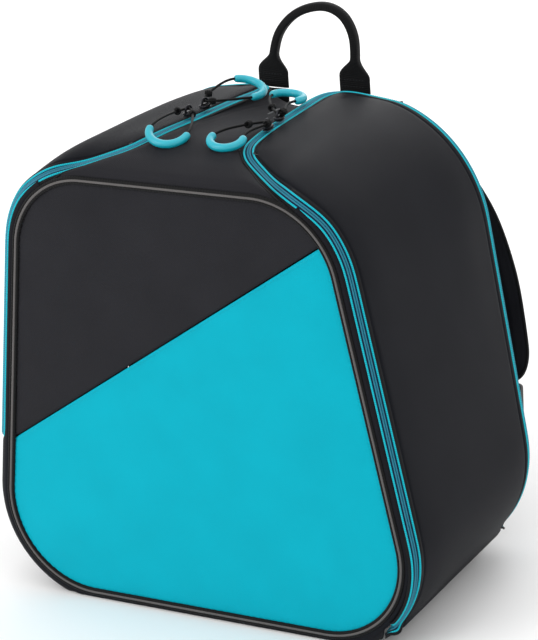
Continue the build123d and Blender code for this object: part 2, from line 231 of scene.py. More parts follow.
MAT = {
    "charcoal": woven("charcoal_cloth", srgb(46, 46, 50), rough=0.66, sheen=0.01),
    "side": woven("side_cloth", srgb(30, 31, 36), pitch=0.6, rough=0.5, sheen=0.0, contrast=0.2),
    "teal": woven("teal_cloth", srgb(6, 182, 204), rough=0.6, sheen=0.01, contrast=0.12, fade=0.07, depth=0.1),
    "base": woven("base_cloth", srgb(26, 27, 30), pitch=1.3, rough=0.55, depth=0.3, contrast=0.4),
    "lining": woven("lining_cloth", srgb(58, 61, 66), pitch=0.4, rough=0.5, sheen=0.3, depth=0.05),
    "mesh": woven("back_mesh", srgb(30, 31, 34), pitch=1.9, rough=0.8, depth=0.7, contrast=0.75, sheen=0.05),
    "bind": ribbed("binding_tape", srgb(14, 15, 18), pitch=0.9),
    "web": ribbed("black_webbing", srgb(10, 10, 12), pitch=1.5, depth=0.4, both=0.2),
    "tape": ribbed("zip_tape_navy", srgb(6, 34, 62), pitch=0.7, depth=0.15),
    "stripe": ribbed("zip_stripe_teal", srgb(12, 196, 214), pitch=1.5, depth=0.35, both=0.0, sheen=0.05),
    "coil": smooth_stuff("zip_coil", srgb(5, 118, 142), rough=0.42, depth=0.02),
    "reflective": ribbed("reflective_band", srgb(96, 93, 92), pitch=0.6, rough=0.34, depth=0.08, sheen=0.1),
    "seam": ribbed("seam_black", srgb(9, 9, 10), pitch=2.4, depth=0.3, both=0.0),
    "thread": ribbed("thread", srgb(40, 42, 46), pitch=0.8, depth=0.2),
    "sleeve": smooth_stuff("pull_sleeve_teal", srgb(14, 168, 186), rough=0.36, depth=0.04, coat=0.2, fade=0.06),
    "cord": ribbed("black_cord", srgb(13, 13, 15), pitch=1.2, depth=0.3),
    "metal": smooth_stuff("slider_gunmetal", srgb(46, 46, 50), rough=0.3, metal=0.9, depth=0.03),
    "plastic": smooth_stuff("buckle_black", srgb(17, 17, 19), rough=0.42, depth=0.06),
}


# ---------------------------------------------------------------- meshes
def write_uvs(me, per_vertex):
    """Fills the UV map "mm" from one pair of values per vertex."""
    idx = np.zeros(len(me.loops), int)
    me.loops.foreach_get("vertex_index", idx)
    me.uv_layers["mm"].data.foreach_set("uv", np.asarray(per_vertex, float)[idx].ravel())


def link_mesh(name, verts, faces, mats, uvs=None, face_mats=None, smooth=True):
    me = bpy.data.meshes.new(name)
    me.from_pydata([tuple(v) for v in np.asarray(verts) * MM], [], faces)
    for key in mats:
        me.materials.append(MAT[key])
    if uvs is not None:
        me.uv_layers.new(name="mm")
        write_uvs(me, uvs)
    if face_mats is not None:
        me.polygons.foreach_set("material_index", np.asarray(face_mats, int))
    me.polygons.foreach_set("use_smooth", [smooth] * len(me.polygons))
    me.update()
    return add_object(name, me)


def grid_mesh(name, P, mats, wrap=(False, False), band=None, flip=False):
    """P is (rows, columns, 3). band gives each column strip its material. UVs are lengths in millimetres."""
    P = np.asarray(P, float)
    nu, nv = P.shape[:2]
    du = np.linalg.norm(np.diff(P, axis=0), axis=2).mean(1)
    dv = np.linalg.norm(np.diff(P, axis=1), axis=2).mean(0)
    u = np.concatenate([[0], np.cumsum(du)])
    v = np.concatenate([[0], np.cumsum(dv)])
    uvs = np.stack(np.meshgrid(u, v, indexing="ij"), -1).reshape(-1, 2)
    faces, face_mats = [], []
    for i in range(nu if wrap[0] else nu - 1):
        for j in range(nv if wrap[1] else nv - 1):
            i2, j2 = (i + 1) % nu, (j + 1) % nv
            q = (i * nv + j, i * nv + j2, i2 * nv + j2, i2 * nv + j)
            faces.append(q[::-1] if flip else q)
            face_mats.append(band[j] if band else 0)
    return link_mesh(name, P.reshape(-1, 3), faces, mats, uvs, face_mats)


def modifier(ob, kind, **values):
    mod = ob.modifiers.new(kind.lower(), kind)
    for key, value in values.items():
        setattr(mod, key, value)
    return mod


def face_out(ob, centre=(0, 0.0, 0.18)):
    """Turns a patch so that its faces look away from the middle of the bag."""
    c = Vector(centre)
    if sum(p.area * p.normal.dot(p.center - c) for p in ob.data.polygons) < 0:
        ob.data.flip_normals()
    return ob


def thicken(ob, thick, inner=None, offset=-1.0):
    """Gives a fabric surface its thickness, with the lining on its inner face."""
    face_out(ob)
    if inner:
        ob.data.materials.append(MAT[inner])
    modifier(ob, "SOLIDIFY", thickness=thick * MM, offset=offset, use_even_offset=False,
             material_offset=len(ob.data.materials) - 1 if inner else 0, use_quality_normals=True)
    return ob


# ---------------------------------------------------------------- curves as point rows, millimetres
def lengths(P):
    return np.concatenate([[0], np.cumsum(np.linalg.norm(np.diff(P, axis=0), axis=1))])


def resample(P, n=None, step=None, at=None):
    P = np.asarray(P, float)
    d = lengths(P)
    if at is None:
        n = n or max(2, int(round(d[-1] / step)) + 1)
        at = np.linspace(0, d[-1], n)
    return np.stack([np.interp(at, d, P[:, k]) for k in range(P.shape[1])], 1)


def spread(P, fractions):
    """Points at the given fractions of a line's length."""
    return resample(P, at=fractions * lengths(P)[-1])


def curve_through(points, per=16):
    """Smooth curve through the points (centripetal Catmull-Rom)."""
    P = np.asarray(points, float)
    P = np.vstack([2 * P[0] - P[1], P, 2 * P[-1] - P[-2]])
    out = []
    for p0, p1, p2, p3 in zip(P, P[1:], P[2:], P[3:]):
        k = [0, 0, 0, 0]
        for i, (a, b) in enumerate(((p0, p1), (p1, p2), (p2, p3))):
            k[i + 1] = k[i] + max(np.linalg.norm(b - a), 1e-6) ** 0.5
        t = np.linspace(k[1], k[2], per, endpoint=False)[:, None]
        a1 = (k[1] - t) / (k[1] - k[0]) * p0 + (t - k[0]) / (k[1] - k[0]) * p1
        a2 = (k[2] - t) / (k[2] - k[1]) * p1 + (t - k[1]) / (k[2] - k[1]) * p2
        a3 = (k[3] - t) / (k[3] - k[2]) * p2 + (t - k[2]) / (k[3] - k[2]) * p3
        b1 = (k[2] - t) / (k[2] - k[0]) * a1 + (t - k[0]) / (k[2] - k[0]) * a2
        b2 = (k[3] - t) / (k[3] - k[1]) * a2 + (t - k[1]) / (k[3] - k[1]) * a3
        out.append((k[2] - t) / (k[2] - k[1]) * b1 + (t - k[1]) / (k[2] - k[1]) * b2)
    out.append(P[-2][None])
    return np.vstack(out)


def soften(P, times=8, closed=False):
    P = P.copy()
    for _ in range(times):
        if closed:
            P = (np.roll(P, 1, 0) + 2 * P + np.roll(P, -1, 0)) / 4
        else:
            P[1:-1] = (P[:-2] + 2 * P[1:-1] + P[2:]) / 4
    return P


def unit(v):
    return v / np.maximum(np.linalg.norm(v, axis=-1, keepdims=True), 1e-12)


def tangents(P, closed=False):
    if closed:
        return unit(np.roll(P, -1, 0) - np.roll(P, 1, 0))
    return unit(np.gradient(P, axis=0))


def smooth_step(x):
    x = np.clip(x, 0, 1)
    return x * x * (3 - 2 * x)


# ---------------------------------------------------------------- the bag's body
# stations from front rim to rear rim: depth, half width at ground, inward slope, top, corner radii
STATIONS = np.array((
    (-99.5, 194.0, 0.160, 351.5, 80.0, 70.0),
    (-60.0, 197.5, 0.163, 364.0, 81.0, 98.0),
    (10.0, 201.0, 0.166, 366.5, 82.0, 113.0),
    (81.3, 199.8, 0.166, 358.4, 84.0, 106.0)))
LEAN_ANGLE = math.radians(4.7)        # of the back panel
LEAN = math.tan(LEAN_ANGLE)
FLOOR_CUT = 1.0
DEPTHS = STATIONS[:, 0]
SPAN = DEPTHS[-1] - DEPTHS[0]


def station(y0):
    """Section values at depth y0, a smooth curve through the four stations."""
    y0 = np.asarray(y0, float)
    out = np.zeros(y0.shape + (5,))
    for i in range(4):
        basis = np.ones_like(y0)
        for j in range(4):
            if i != j:
                basis = basis * (y0 - DEPTHS[j]) / (DEPTHS[i] - DEPTHS[j])
        out += basis[..., None] * STATIONS[i, 1:]
    return out


def half_section(values, s):
    """Point (x, z) of the right half outline: s 0-1 base, 1-2 low corner, 2-3 side, 3-4 top corner, 4-5 top."""
    half, k, top, rb, rt = np.moveaxis(values, -1, 0)
    q = np.sqrt(1 + k * k)
    bz, tz = rb - FLOOR_CUT, top - rt
    bx, tx = half - rb * q - k * bz, half - rt * q - k * tz
    lean = np.arctan(k)
    a = np.clip(s - 1, 0, 1)
    ang_b = -np.pi / 2 + a * (lean + np.pi / 2)
    c = np.clip(s - 3, 0, 1)
    ang_t = lean + c * (np.pi / 2 - lean)
    low = np.stack([bx + rb * np.cos(ang_b), bz + rb * np.sin(ang_b)], -1)
    high = np.stack([tx + rt * np.cos(ang_t), tz + rt * np.sin(ang_t)], -1)
    m = np.clip(s - 2, 0, 1)[..., None]
    side = low * (1 - m) + high * m
    base = np.stack([bx * np.clip(s, 0, 1), -FLOOR_CUT + 0 * bx], -1)
    roof = np.stack([tx * (1 - np.clip(s - 4, 0, 1)), top + 0 * tx], -1)
    pick = s[..., None]
    return np.where(pick < 1, base, np.where(pick < 3, side, np.where(pick <= 4, high, roof)))


def body(s, t, side=1):
    """Point of the body's outer surface; t runs 0-1 from front rim to rear rim."""
    s, t = np.broadcast_arrays(np.asarray(s, float), np.asarray(t, float))
    y0 = DEPTHS[0] + t * SPAN
    xz = half_section(station(y0), s)
    lean = np.clip((t - 0.35) / 0.65, 0, None) ** 1.6 * LEAN
    return np.stack([side * xz[..., 0], y0 + lean * xz[..., 1], xz[..., 1]], -1)


def on_body(P):
    """(s, t) of the nearest body surface point to each right-hand point."""
    P = np.asarray(P, float)
    ss = np.linspace(0, 5, 1001)
    found = []
    for x, y, z in P:
        ts = np.linspace(-0.05, 1.08, 240)
        y0 = DEPTHS[0] + ts * SPAN
        ys = y0 + np.clip((ts - 0.35) / 0.65, 0, None) ** 1.6 * LEAN * z
        t = np.interp(y, ys, ts)
        q = body(ss, np.full_like(ss, t))
        found.append((ss[np.argmin((q[:, 0] - x) ** 2 + (q[:, 2] - z) ** 2)], t))
    found = np.array(found)
    return soften(found, 6)


def coons(bottom, top, front, rear, us, vs):
    """Patch between four edges. front and rear run bottom to top over us; bottom and top run front to rear over vs."""
    U, V = us[:, None, None], vs[None, :, None]
    side = (1 - V) * front[:, None] + V * rear[:, None]
    ends = (1 - U) * bottom[None] + U * top[None]
    corners = (1 - U) * ((1 - V) * front[0] + V * rear[0]) + U * ((1 - V) * front[-1] + V * rear[-1])
    return side + ends - corners


NEAR_EDGE = (0, 1.2, 2.4, 3.4, 4.1, 4.8, 5.5, 6.6, 9.0, 12.0)


def edge_steps(length, near=(*NEAR_EDGE, 16.0, 21.0, 27.0), step=7.0):
    """Fractions along a length, close together near both ends."""
    near = np.array(near)
    mid = np.linspace(near[-1], length - near[-1], max(3, int((length - 2 * near[-1]) / step) + 1))
    return np.concatenate([near, mid[1:-1], (length - near)[::-1]]) / length


# ---------------------------------------------------------------- front outline
PIPING_Y = -101.0
PIPING = np.array((185.8, 0.165, 347.3, 70.0, 66.0))
PIPING_BOTTOM = 5.0
ZIP_OUT = 10.5            # piping to zipper centre
ZIP_Y = -98.0


def piping_loop(grow=0.0, n=900):
    """Closed outline in (x, z), from the middle of the bottom round by the right."""
    half, k, top, rb, rt = PIPING
    q = math.sqrt(1 + k * k)
    bz, tz = PIPING_BOTTOM + rb, top - rt
    bx, tx = half - rb * q - k * bz, half - rt * q - k * tz
    lean = math.atan(k)
    rb, rt = rb + grow, rt + grow
    low = [(bx + rb * math.cos(a), bz + rb * math.sin(a)) for a in np.linspace(-math.pi / 2, lean, 60)]
    high = [(tx + rt * math.cos(a), tz + rt * math.sin(a)) for a in np.linspace(lean, math.pi / 2, 60)]
    right = [(0, bz - rb)] + low + high + [(0, tz + rt)]
    left = [(-x, z) for x, z in right[-2:0:-1]]
    pts = np.array(right + left + [right[0]])
    return resample(pts, n + 1)[:-1]


def on_front(xz, y):
    return np.stack([xz[:, 0], np.full(len(xz), y), xz[:, 1]], 1)


# ---------------------------------------------------------------- zipper lines
LEFT_END_Z = 127.0
HINGE_Z = 13.0
TURN_X = 118.0            # where the zipper leaves the front outline
OVER_TOP = ((104, -97.2, 349.0), (84, -85.5, 353.0), (63, -70.5, 358.0), (49.5, -60, 362.2), (43, -49, 365.0),
            (39.5, -30, 365.8), (35.6, 0, 365.0), (32.4, 38, 363.8), (29.4, 70, 362.4), (27.5, 88, 361.2),
            (29.5, 99.5, 360.2), (38, 107.5, 359.7))


def zip_line():
    """Centre of the right zipper, from the front low corner over the top and down the rear edge."""
    loop = on_front(piping_loop(ZIP_OUT), ZIP_Y)
    right = loop[: len(loop) // 2]
    keep = right[(right[:, 2] > HINGE_Z) & ((right[:, 2] < 200) | (right[:, 0] > TURN_X))]
    rear_s = np.linspace(4.0, 1.15, 160)
    rear = body(rear_s, np.ones(160)) + np.array((0, 1.0, 0))
    rear = rear[rear[:, 2] > HINGE_Z]
    top = curve_through([*keep[-60::12], *OVER_TOP, rear[12]], 20)
    line = np.vstack([keep[:-60], top, rear[13:]])
    return soften(resample(line, step=1.0), 60)


LINE = zip_line()
ALONG = lengths(LINE)


def face_normals(P):
    """Which way the zipper's face looks: diagonal on the front and rear edges, up over the top."""
    st = on_body(P[::6])
    eps = 1e-3
    a = body(st[:, 0] + 0.02, st[:, 1]) - body(st[:, 0] - 0.02, st[:, 1])
    b = body(st[:, 0], st[:, 1] + eps) - body(st[:, 0], st[:, 1] - eps)
    n = unit(np.cross(b, a))
    n *= np.sign(n[:, :1] * 0.5 + n[:, 2:] * 0.5 + 1e-9)
    front = np.array((0, -1.0, 0))
    rear = np.array((0, math.cos(LEAN_ANGLE), -math.sin(LEAN_ANGLE)))
    y = P[::6, 1] - LEAN * P[::6, 2] * (P[::6, 1] > 0)
    low = smooth_step((P[::6, 2] - 35) / 80)
    wf = ((0.25 + 0.75 * low) * smooth_step((-80 - P[::6, 1]) / 18))[:, None]
    wr = 0.35 * smooth_step((y - 66) / 14)[:, None]
    n = unit(n + wf * front + wr * rear)
    full = np.stack([np.interp(np.arange(len(P)), np.arange(0, len(P), 6), n[:, k]) for k in range(3)], 1)
    return unit(soften(full, 40))


NORMAL = face_normals(LINE)
TANGENT = tangents(LINE)
NORMAL = unit(NORMAL - (NORMAL * TANGENT).sum(1, keepdims=True) * TANGENT)
OUTWARD = unit(np.cross(TANGENT, NORMAL))
if OUTWARD[100, 0] < 0:
    OUTWARD = -OUTWARD


def mirror(P, side):
    P = np.array(P, float)
    P[..., 0] *= side
    return P


def first_index(side):
    """Where this side's zipper begins and ends on LINE."""
    low = HINGE_Z if side > 0 else LEFT_END_Z
    ok = np.nonzero(LINE[:, 2] > low)[0]
    return ok[0], ok[-1]


# ---------------------------------------------------------------- cords
PULL_CORDS = {
    "right_front_pull_cord": ((15, -50, 373.5), (28, -64, 369), (38, -47, 372), (39.317, -14, 373.8)),
    "right_rear_pull_cord": ((9, 46, 374), (22, 60, 371.5), (31.5, 42, 372), (36.741, 8, 373.8)),
    "left_front_pull_cord": ((-37, -54, 376.5), (-21, -66, 368.5), (-8, -50, 372), (-37.678, 0, 373.8)),
    "left_rear_pull_cord": ((-33, 62, 379), (-12, 66, 373.5), (-8, 44, 371.5), (-35.337, 20, 373.8)),
}
KNEE = 8.0
BAIL_SPAN = 4.4
CORD_D = 2.0


def arc_through(a, b, c, n=40):
    """Circle arc through three points."""
    a, b, c = (np.array(p, float) for p in (a, b, c))
    ab, ac = b - a, c - a
    axis = np.cross(ab, ac)
    centre = a + (np.cross(axis, ab) * (ac @ ac) + np.cross(ac, axis) * (ab @ ab)) / (2 * (axis @ axis))
    e1 = a - centre
    radius = np.linalg.norm(e1)
    e1 = e1 / radius
    e2 = np.cross(axis / np.linalg.norm(axis), e1)
    end = math.atan2((c - centre) @ e2, (c - centre) @ e1) % (2 * math.pi)
    ang = np.linspace(0, end, n)[:, None]
    return centre + radius * (np.cos(ang) * e1 + np.sin(ang) * e2)


def nurbs_cord(name, points, diameter, mat):
    curve = bpy.data.curves.new(name, "CURVE")
    curve.dimensions = "3D"
    curve.bevel_depth = diameter / 2 * MM
    curve.bevel_resolution = 3
    curve.use_fill_caps = True
    spline = curve.splines.new("NURBS")
    spline.points.add(len(points) - 1)
    for p, at in zip(spline.points, points):
        p.co = (*[v * MM for v in at], 1)
    spline.order_u = 3
    spline.use_endpoint_u = True
    spline.resolution_u = 10
    curve.materials.append(mat)
    return add_object(name, curve)


def spline_length(ob):
    bare = ob.copy()
    bare.data = ob.data.copy()
    bare.data.bevel_depth = 0
    me = bpy.data.meshes.new_from_object(bare)
    co = np.array([v.co for v in me.vertices])
    bpy.data.objects.remove(bare)
    return float(np.linalg.norm(np.diff(co, axis=0), axis=1).sum()), co / MM


def frames_along(P, up):
    """Tangent, side and up rows along a line, turned as little as possible."""
    T = tangents(P)
    ups = np.zeros_like(P)
    u = np.array(up, float)
    for i, t in enumerate(T):
        u = u - (u @ t) * t
        u = u / np.linalg.norm(u)
        ups[i] = u
    return T, unit(np.cross(T, ups)), ups


def sweep(name, P, profile, mats, up=(0, 0, 1), closed=False, band=None, scale=None, ends=True, flip=False,
          frames=None):
    """Closed profile (side, up) carried along P. scale(fraction) gives (side, up) factors."""
    _, S, U = frames or frames_along(P, up)
    prof = np.asarray(profile, float)
    d = lengths(P)
    frac = d / d[-1]
    k = np.ones((len(P), 2)) if scale is None else np.array([scale(f) for f in frac])
    rings = (P[:, None] + S[:, None] * (prof[None, :, :1] * k[:, None, :1])
             + U[:, None] * (prof[None, :, 1:2] * k[:, None, 1:2]))
    ob = grid_mesh(name, rings, mats, wrap=(closed, True), band=band, flip=flip)
    if ends and not closed:
        close_ends(ob, len(P), len(prof), swept=True)
    return ob


def close_ends(ob, rows, cols, swept=False):
    """Caps both open ends of a tube. A swept tube's caps are shaded smooth."""
    bm = bmesh.new()
    bm.from_mesh(ob.data)
    bm.verts.ensure_lookup_table()
    for first in (0, (rows - 1) * cols):
        ring = [bm.verts[first + i] for i in range(cols)]
        bm.faces.new(ring[::-1] if swept and not first else ring).smooth = swept
    bmesh.ops.recalc_face_normals(bm, faces=bm.faces)
    bm.to_mesh(ob.data)
    bm.free()


def circle(r, n=12):
    a = np.linspace(0, 2 * np.pi, n, endpoint=False)
    return np.stack([r * np.cos(a), r * np.sin(a)], 1)


def rounded_box(w, h, r, n=4):
    """Rounded rectangle profile, w across and h up."""
    out = []
    x, y = w / 2 - r, h / 2 - r
    for cx, cy, a0 in ((x, y, 0), (-x, y, 90), (-x, -y, 180), (x, -y, 270)):
        for a in np.radians(np.linspace(a0, a0 + 90, n)):
            out.append((cx + r * math.cos(a), cy + r * math.sin(a)))
    return np.array(out)


def dress(ob, ride=None, replaces=()):
    if ride:
        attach(ob, ride)
    if replaces:
        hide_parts(*replaces)
    return ob


def make_pulls():
    for name, (a, b, c, hook) in PULL_CORDS.items():
        base = name.replace("_pull_cord", "")
        body_name = base + "_pull"
        arc = arc_through(a, b, c)
        ends = [np.array(a, float), np.array(c, float)]
        outs = [unit(arc[0] - arc[1]), unit(arc[-1] - arc[-2])]
        hook = np.array(hook, float)
        points = [ends[0], ends[0] + outs[0] * KNEE, hook - (BAIL_SPAN, 0, 0), hook + (BAIL_SPAN, 0, 0),
                  ends[1] + outs[1] * KNEE, ends[1]]
        cord = nurbs_cord(base + "_cord_line", points, CORD_D, MAT["cord"])
        dress(cord, body_name, [name])
        # moulded sleeve: fuller in the middle, rounded lips at both ends
        arc = arc_through(a, b, c, 56)

        def fullness(f):
            e = min(f, 1 - f)
            lip = 0.86 + 0.14 * min(1, e / 0.05)
            k = lip * (1 + 0.05 * math.sin(math.pi * f))
            if e < 0.02:
                k *= math.sqrt(max(0.02, 1 - (1 - e / 0.02) ** 2)) * 0.25 + 0.75
            return (k, k)
        sleeve = sweep(base + "_pull_sleeve_moulded", arc, circle(3.0, 20), ["sleeve"], scale=fullness)
        dress(sleeve, body_name, [base + "_pull_sleeve"])
        length, line = spline_length(cord)
        knot = knot_piece(base + "_cord_knot", resample(line, 101), 38, 62)
        dress(knot, body_name)


def knot_piece(name, line, i0, i1):
    """Two whipped knots, one on each strand beside the bail."""
    parts = []
    span, turns = 4.6, 3.2
    axis = unit(line[i1 + 1] - line[i1 - 1])        # both are wound about the second strand's direction
    for centre in (line[i0], line[i1]):
        side = unit(np.cross(axis, (0, 0, 1)))
        up = np.cross(side, axis)
        f = np.linspace(0, 1, 90)
        ang = f * 2 * np.pi * turns
        r = 1.75 + 0.35 * np.sin(f * np.pi)
        coil = (centre + axis * ((f - 0.5) * span)[:, None]
                + side * (r * np.cos(ang))[:, None] + up * (r * np.sin(ang))[:, None])
        parts.append(coil)
    obs = [sweep(f"{name}_{i}", c, circle(0.9, 8), ["cord"]) for i, c in enumerate(parts)]
    return join(name, obs)


def join(name, obs):
    """One object from several meshes, materials kept."""
    bm = bmesh.new()
    mats = []
    for ob in obs:
        remap = []
        for m in ob.data.materials:
            if m not in mats:
                mats.append(m)
            remap.append(mats.index(m))
        before = len(bm.faces)
        bm.from_mesh(ob.data)
        bm.faces.ensure_lookup_table()
        for face in bm.faces[before:]:
            face.material_index = remap[face.material_index] if remap else 0
        me = ob.data
        bpy.data.objects.remove(ob)
        bpy.data.meshes.remove(me)
    me = bpy.data.meshes.new(name)
    bm.to_mesh(me)
    bm.free()
    for m in mats:
        me.materials.append(m)
    return add_object(name, me)


# ---------------------------------------------------------------- zippers
def zip_strip(name, side, lo, hi, sign):
    """One half of a zipper, from its middle out: coil, navy tape, raised teal stripe, and an outer edge in black
    binding cloth that is painted shade.
    """
    at = np.arange(ALONG[lo], ALONG[hi], 0.45)
    P = resample(LINE, at=at)
    N = unit(np.stack([np.interp(at, ALONG, NORMAL[:, k]) for k in range(3)], 1))
    W = unit(np.stack([np.interp(at, ALONG, OUTWARD[:, k]) for k in range(3)], 1)) * sign
    pitch = 1.8
    tooth = np.cos(at / pitch * 2 * np.pi + (0 if sign > 0 else np.pi))
    # across the half strip: distance, height, tooth sway and lift
    rows = ((0.0, -0.6, 0, 0), (0.05, 0.35, 0.35, 0.25), (0.55, 1.0, 0.2, 0.35), (1.05, 0.95, 0, 0.3),
            (1.4, 0.15, 0, 0.1), (2.1, 0.0, 0, 0), (2.6, 0.05, 0, 0), (2.75, 0.7, 0, 0), (3.3, 0.95, 0, 0),
            (3.9, 0.7, 0, 0), (4.05, 0.05, 0, 0), (5.4, -0.1, 0, 0), (6.4, -0.5, 0, 0))
    # the last two columns, the tape's outer edge, take the black binding cloth: painted shade where the tape dips into
    # shadow beside the stripe
    band = ["coil"] * 4 + ["tape"] * 2 + ["stripe"] * 4 + ["bind"] * 2
    grid = np.stack([P + W * (w + sway * tooth)[:, None] + N * (h + lift * tooth)[:, None]
                     for w, h, sway, lift in rows], 1)
    mats = ["coil", "tape", "stripe", "bind"]
    ob = grid_mesh(name, mirror(grid, side), mats, band=[mats.index(b) for b in band])
    return thicken(ob, 0.7)


def make_zips():
    for side, tag in ((1, "right"), (-1, "left")):
        lo, hi = first_index(side)
        for sign, half in ((1, "door"), (-1, "body")):
            ob = zip_strip(f"{tag}_{half}_zip", side, lo, hi, sign)
            dress(ob, f"{tag}_door" if half == "door" else "bag_body",
                  [f"{tag}_{half}_zip_tape", f"{tag}_{half}_zip_teeth"])


# ---------------------------------------------------------------- doors
DOOR_EDGE = 4.5           # zipper centre to the cloth's edge
DOOR_LONG, DOOR_WIDE = 480, 185
PANEL_RISE = 0.55
CLOTH_THICK = {"door": 2.2, "border": 1.4, "strip": 1.8, "lower_side": 2.0, "base": 2.4, "rear": 1.5,
               "liner": 0.8, "front": 2.6, "divider": 2.6}


def ripple(a, b, seed):
    """Slow, irregular softness of the cloth, from -1 to 1."""
    out = 0
    for k in range(1, 5):
        p = seed * 1.7 + k * 2.3
        out = out + np.sin(a * (0.9 + 0.55 * k) + p + 1.3 * np.sin(b * (0.6 + 0.4 * k) + p * 1.9)) / k
    return out / 2.0


def puffed(P, n, du, dv, rise, groove=4.6, seed=1.0, soft=1.0):
    """Lifts a patch between its stitched edges. du and dv are distances to the nearest edges."""
    edge = np.minimum(du, dv)
    lift = rise * (1 - np.exp(-np.clip(edge - groove, 0, None) / 15)) + PANEL_RISE * smooth_step(edge / 1.3)
    lift -= 0.95 * np.exp(-((edge - groove) / 0.75) ** 2)
    along = lengths(P[:, P.shape[1] // 2])[:, None]
    across = lengths(P[P.shape[0] // 2])[None, :]
    calm = smooth_step((edge - groove) / 30)
    lift += soft * calm * 0.9 * ripple(along / 62, across / 55, seed)
    near = np.exp(-np.clip(edge - groove, 0, None) / 7) * smooth_step((edge - groove) / 2.5)
    pucker = np.sin(along / 5.1 + 2.2 * np.sin(across / 23)) + np.sin(across / 4.7 + along / 31)
    lift += soft * near * 0.16 * pucker
    return P + n * lift[..., None]


def patch_normals(P):
    a = np.gradient(P, axis=0)
    b = np.gradient(P, axis=1)
    return unit(np.cross(a, b))


def outward_normals(P, axis, row=0.5):
    """Patch normals, turned so that they point along an axis in the patch's middle column."""
    n = patch_normals(P)
    return -n if n[int(len(P) * row), P.shape[1] // 2, axis] < 0 else n


def from_edges(fractions, length):
    """Distance to the nearer end, for fractions of a length."""
    return np.minimum(fractions, 1 - fractions) * length


def door_patch(side):
    lo, hi = first_index(side)
    edge = LINE + OUTWARD * DOOR_EDGE + NORMAL * (-0.1)
    i_front = int(np.argmin(np.linalg.norm(LINE - np.array((46.5, -56, 363.3)), axis=1)))
    i_rear = int(np.argmin(np.linalg.norm(LINE - np.array((30.5, 101, 360.2)), axis=1)))
    front = edge[lo:i_front + 1]
    top = edge[i_front:i_rear + 1]
    rear = edge[i_rear:hi + 1][::-1]
    us = edge_steps(DOOR_LONG)
    vs = edge_steps(DOOR_WIDE)
    front = spread(front, us)
    rear = spread(rear, us)
    top = spread(top, vs)
    fs, rs, ts = on_body(front), on_body(rear), on_body(top)
    bs = np.stack([fs[0] + (rs[0] - fs[0]) * v for v in vs])
    st = coons(bs, ts, fs, rs, us, vs)
    surface = body(st[..., 0], st[..., 1])
    bottom = np.stack([front[0] * (1 - v) + rear[0] * v for v in vs])
    gap = coons(bottom - surface[0], top - surface[-1], front - surface[:, 0], rear - surface[:, -1], us, vs)
    P = surface + gap
    n = outward_normals(P, 0, 1 / 3)
    along = from_edges(us, DOOR_LONG)[:, None]
    across = from_edges(vs, DOOR_WIDE)[None, :]
    P = puffed(P, n, along, across, 2.2, seed=1.0 if side > 0 else 4.0)
    P[..., 2] = np.maximum(P[..., 2], 3.0)
    return P


def make_doors():
    for side, tag in ((1, "right"), (-1, "left")):
        P = mirror(door_patch(side), side)
        ob = grid_mesh(f"{tag}_door_cloth", P, ["side"], flip=side > 0)
        thicken(ob, CLOTH_THICK["door"], "lining")
        dress(ob, f"{tag}_door", [f"{tag}_door_panel"])


# ---------------------------------------------------------------- border, strip, lower side, base, gusset
def border_ring():
    """Cloth between the piping and the zipper, round the whole front."""
    loop = piping_loop(2.0)
    T = tangents(np.column_stack([loop[:, 0], loop[:, 1] * 0, loop[:, 1]]), closed=True)
    out = np.stack([T[:, 2], -T[:, 0]], 1)
    if out[len(out) // 4, 0] < 0:
        out = -out
    left_low = (loop[:, 0] < 0) & (loop[:, 1] < LEFT_END_Z)
    low = (loop[:, 1] < HINGE_Z + 4) | left_low
    plain = np.convolve(np.tile(low.astype(float), 3), np.ones(9) / 9, "same")[len(low):2 * len(low)][:, None]
    # distance out from the piping, and depth: beside a zipper, and where there is none
    zipped = np.array(((0, -100.6), (0.6, -101.8), (1.4, -102.2), (3.0, -102.3), (4.4, -102.0), (5.0, -101.4),
                       (5.3, -100.4)))
    bare = np.array(((0, -100.6), (0.6, -101.8), (1.6, -102.3), (4.2, -101.9), (7.6, -99.9), (10.2, -96.6),
                     (11.4, -92.0)))
    prof = zipped[None] * (1 - plain[..., None]) + bare[None] * plain[..., None]
    xz = loop[:, None] + out[:, None] * prof[..., :1]
    P = np.stack([xz[..., 0], prof[..., 1] + 0 * xz[..., 0], xz[..., 1]], -1)
    P[..., 2] = np.maximum(P[..., 2], 0.4)
    return P


def make_border():
    P = border_ring()
    stop = JOIN_X - 4
    ok = ~((np.abs(P[:, 0, 0]) < stop) & (P[:, 0, 2] > 200))
    first = int(np.nonzero(~ok)[0][-1]) + 1
    P = np.roll(P, -first, axis=0)[: int(ok.sum())]
    ob = grid_mesh("front_border_cloth", P, ["side"], flip=True)
    thicken(ob, CLOTH_THICK["border"], "lining")
    dress(ob, "bag_body", ["front_border"])


JOIN_X = 112.0


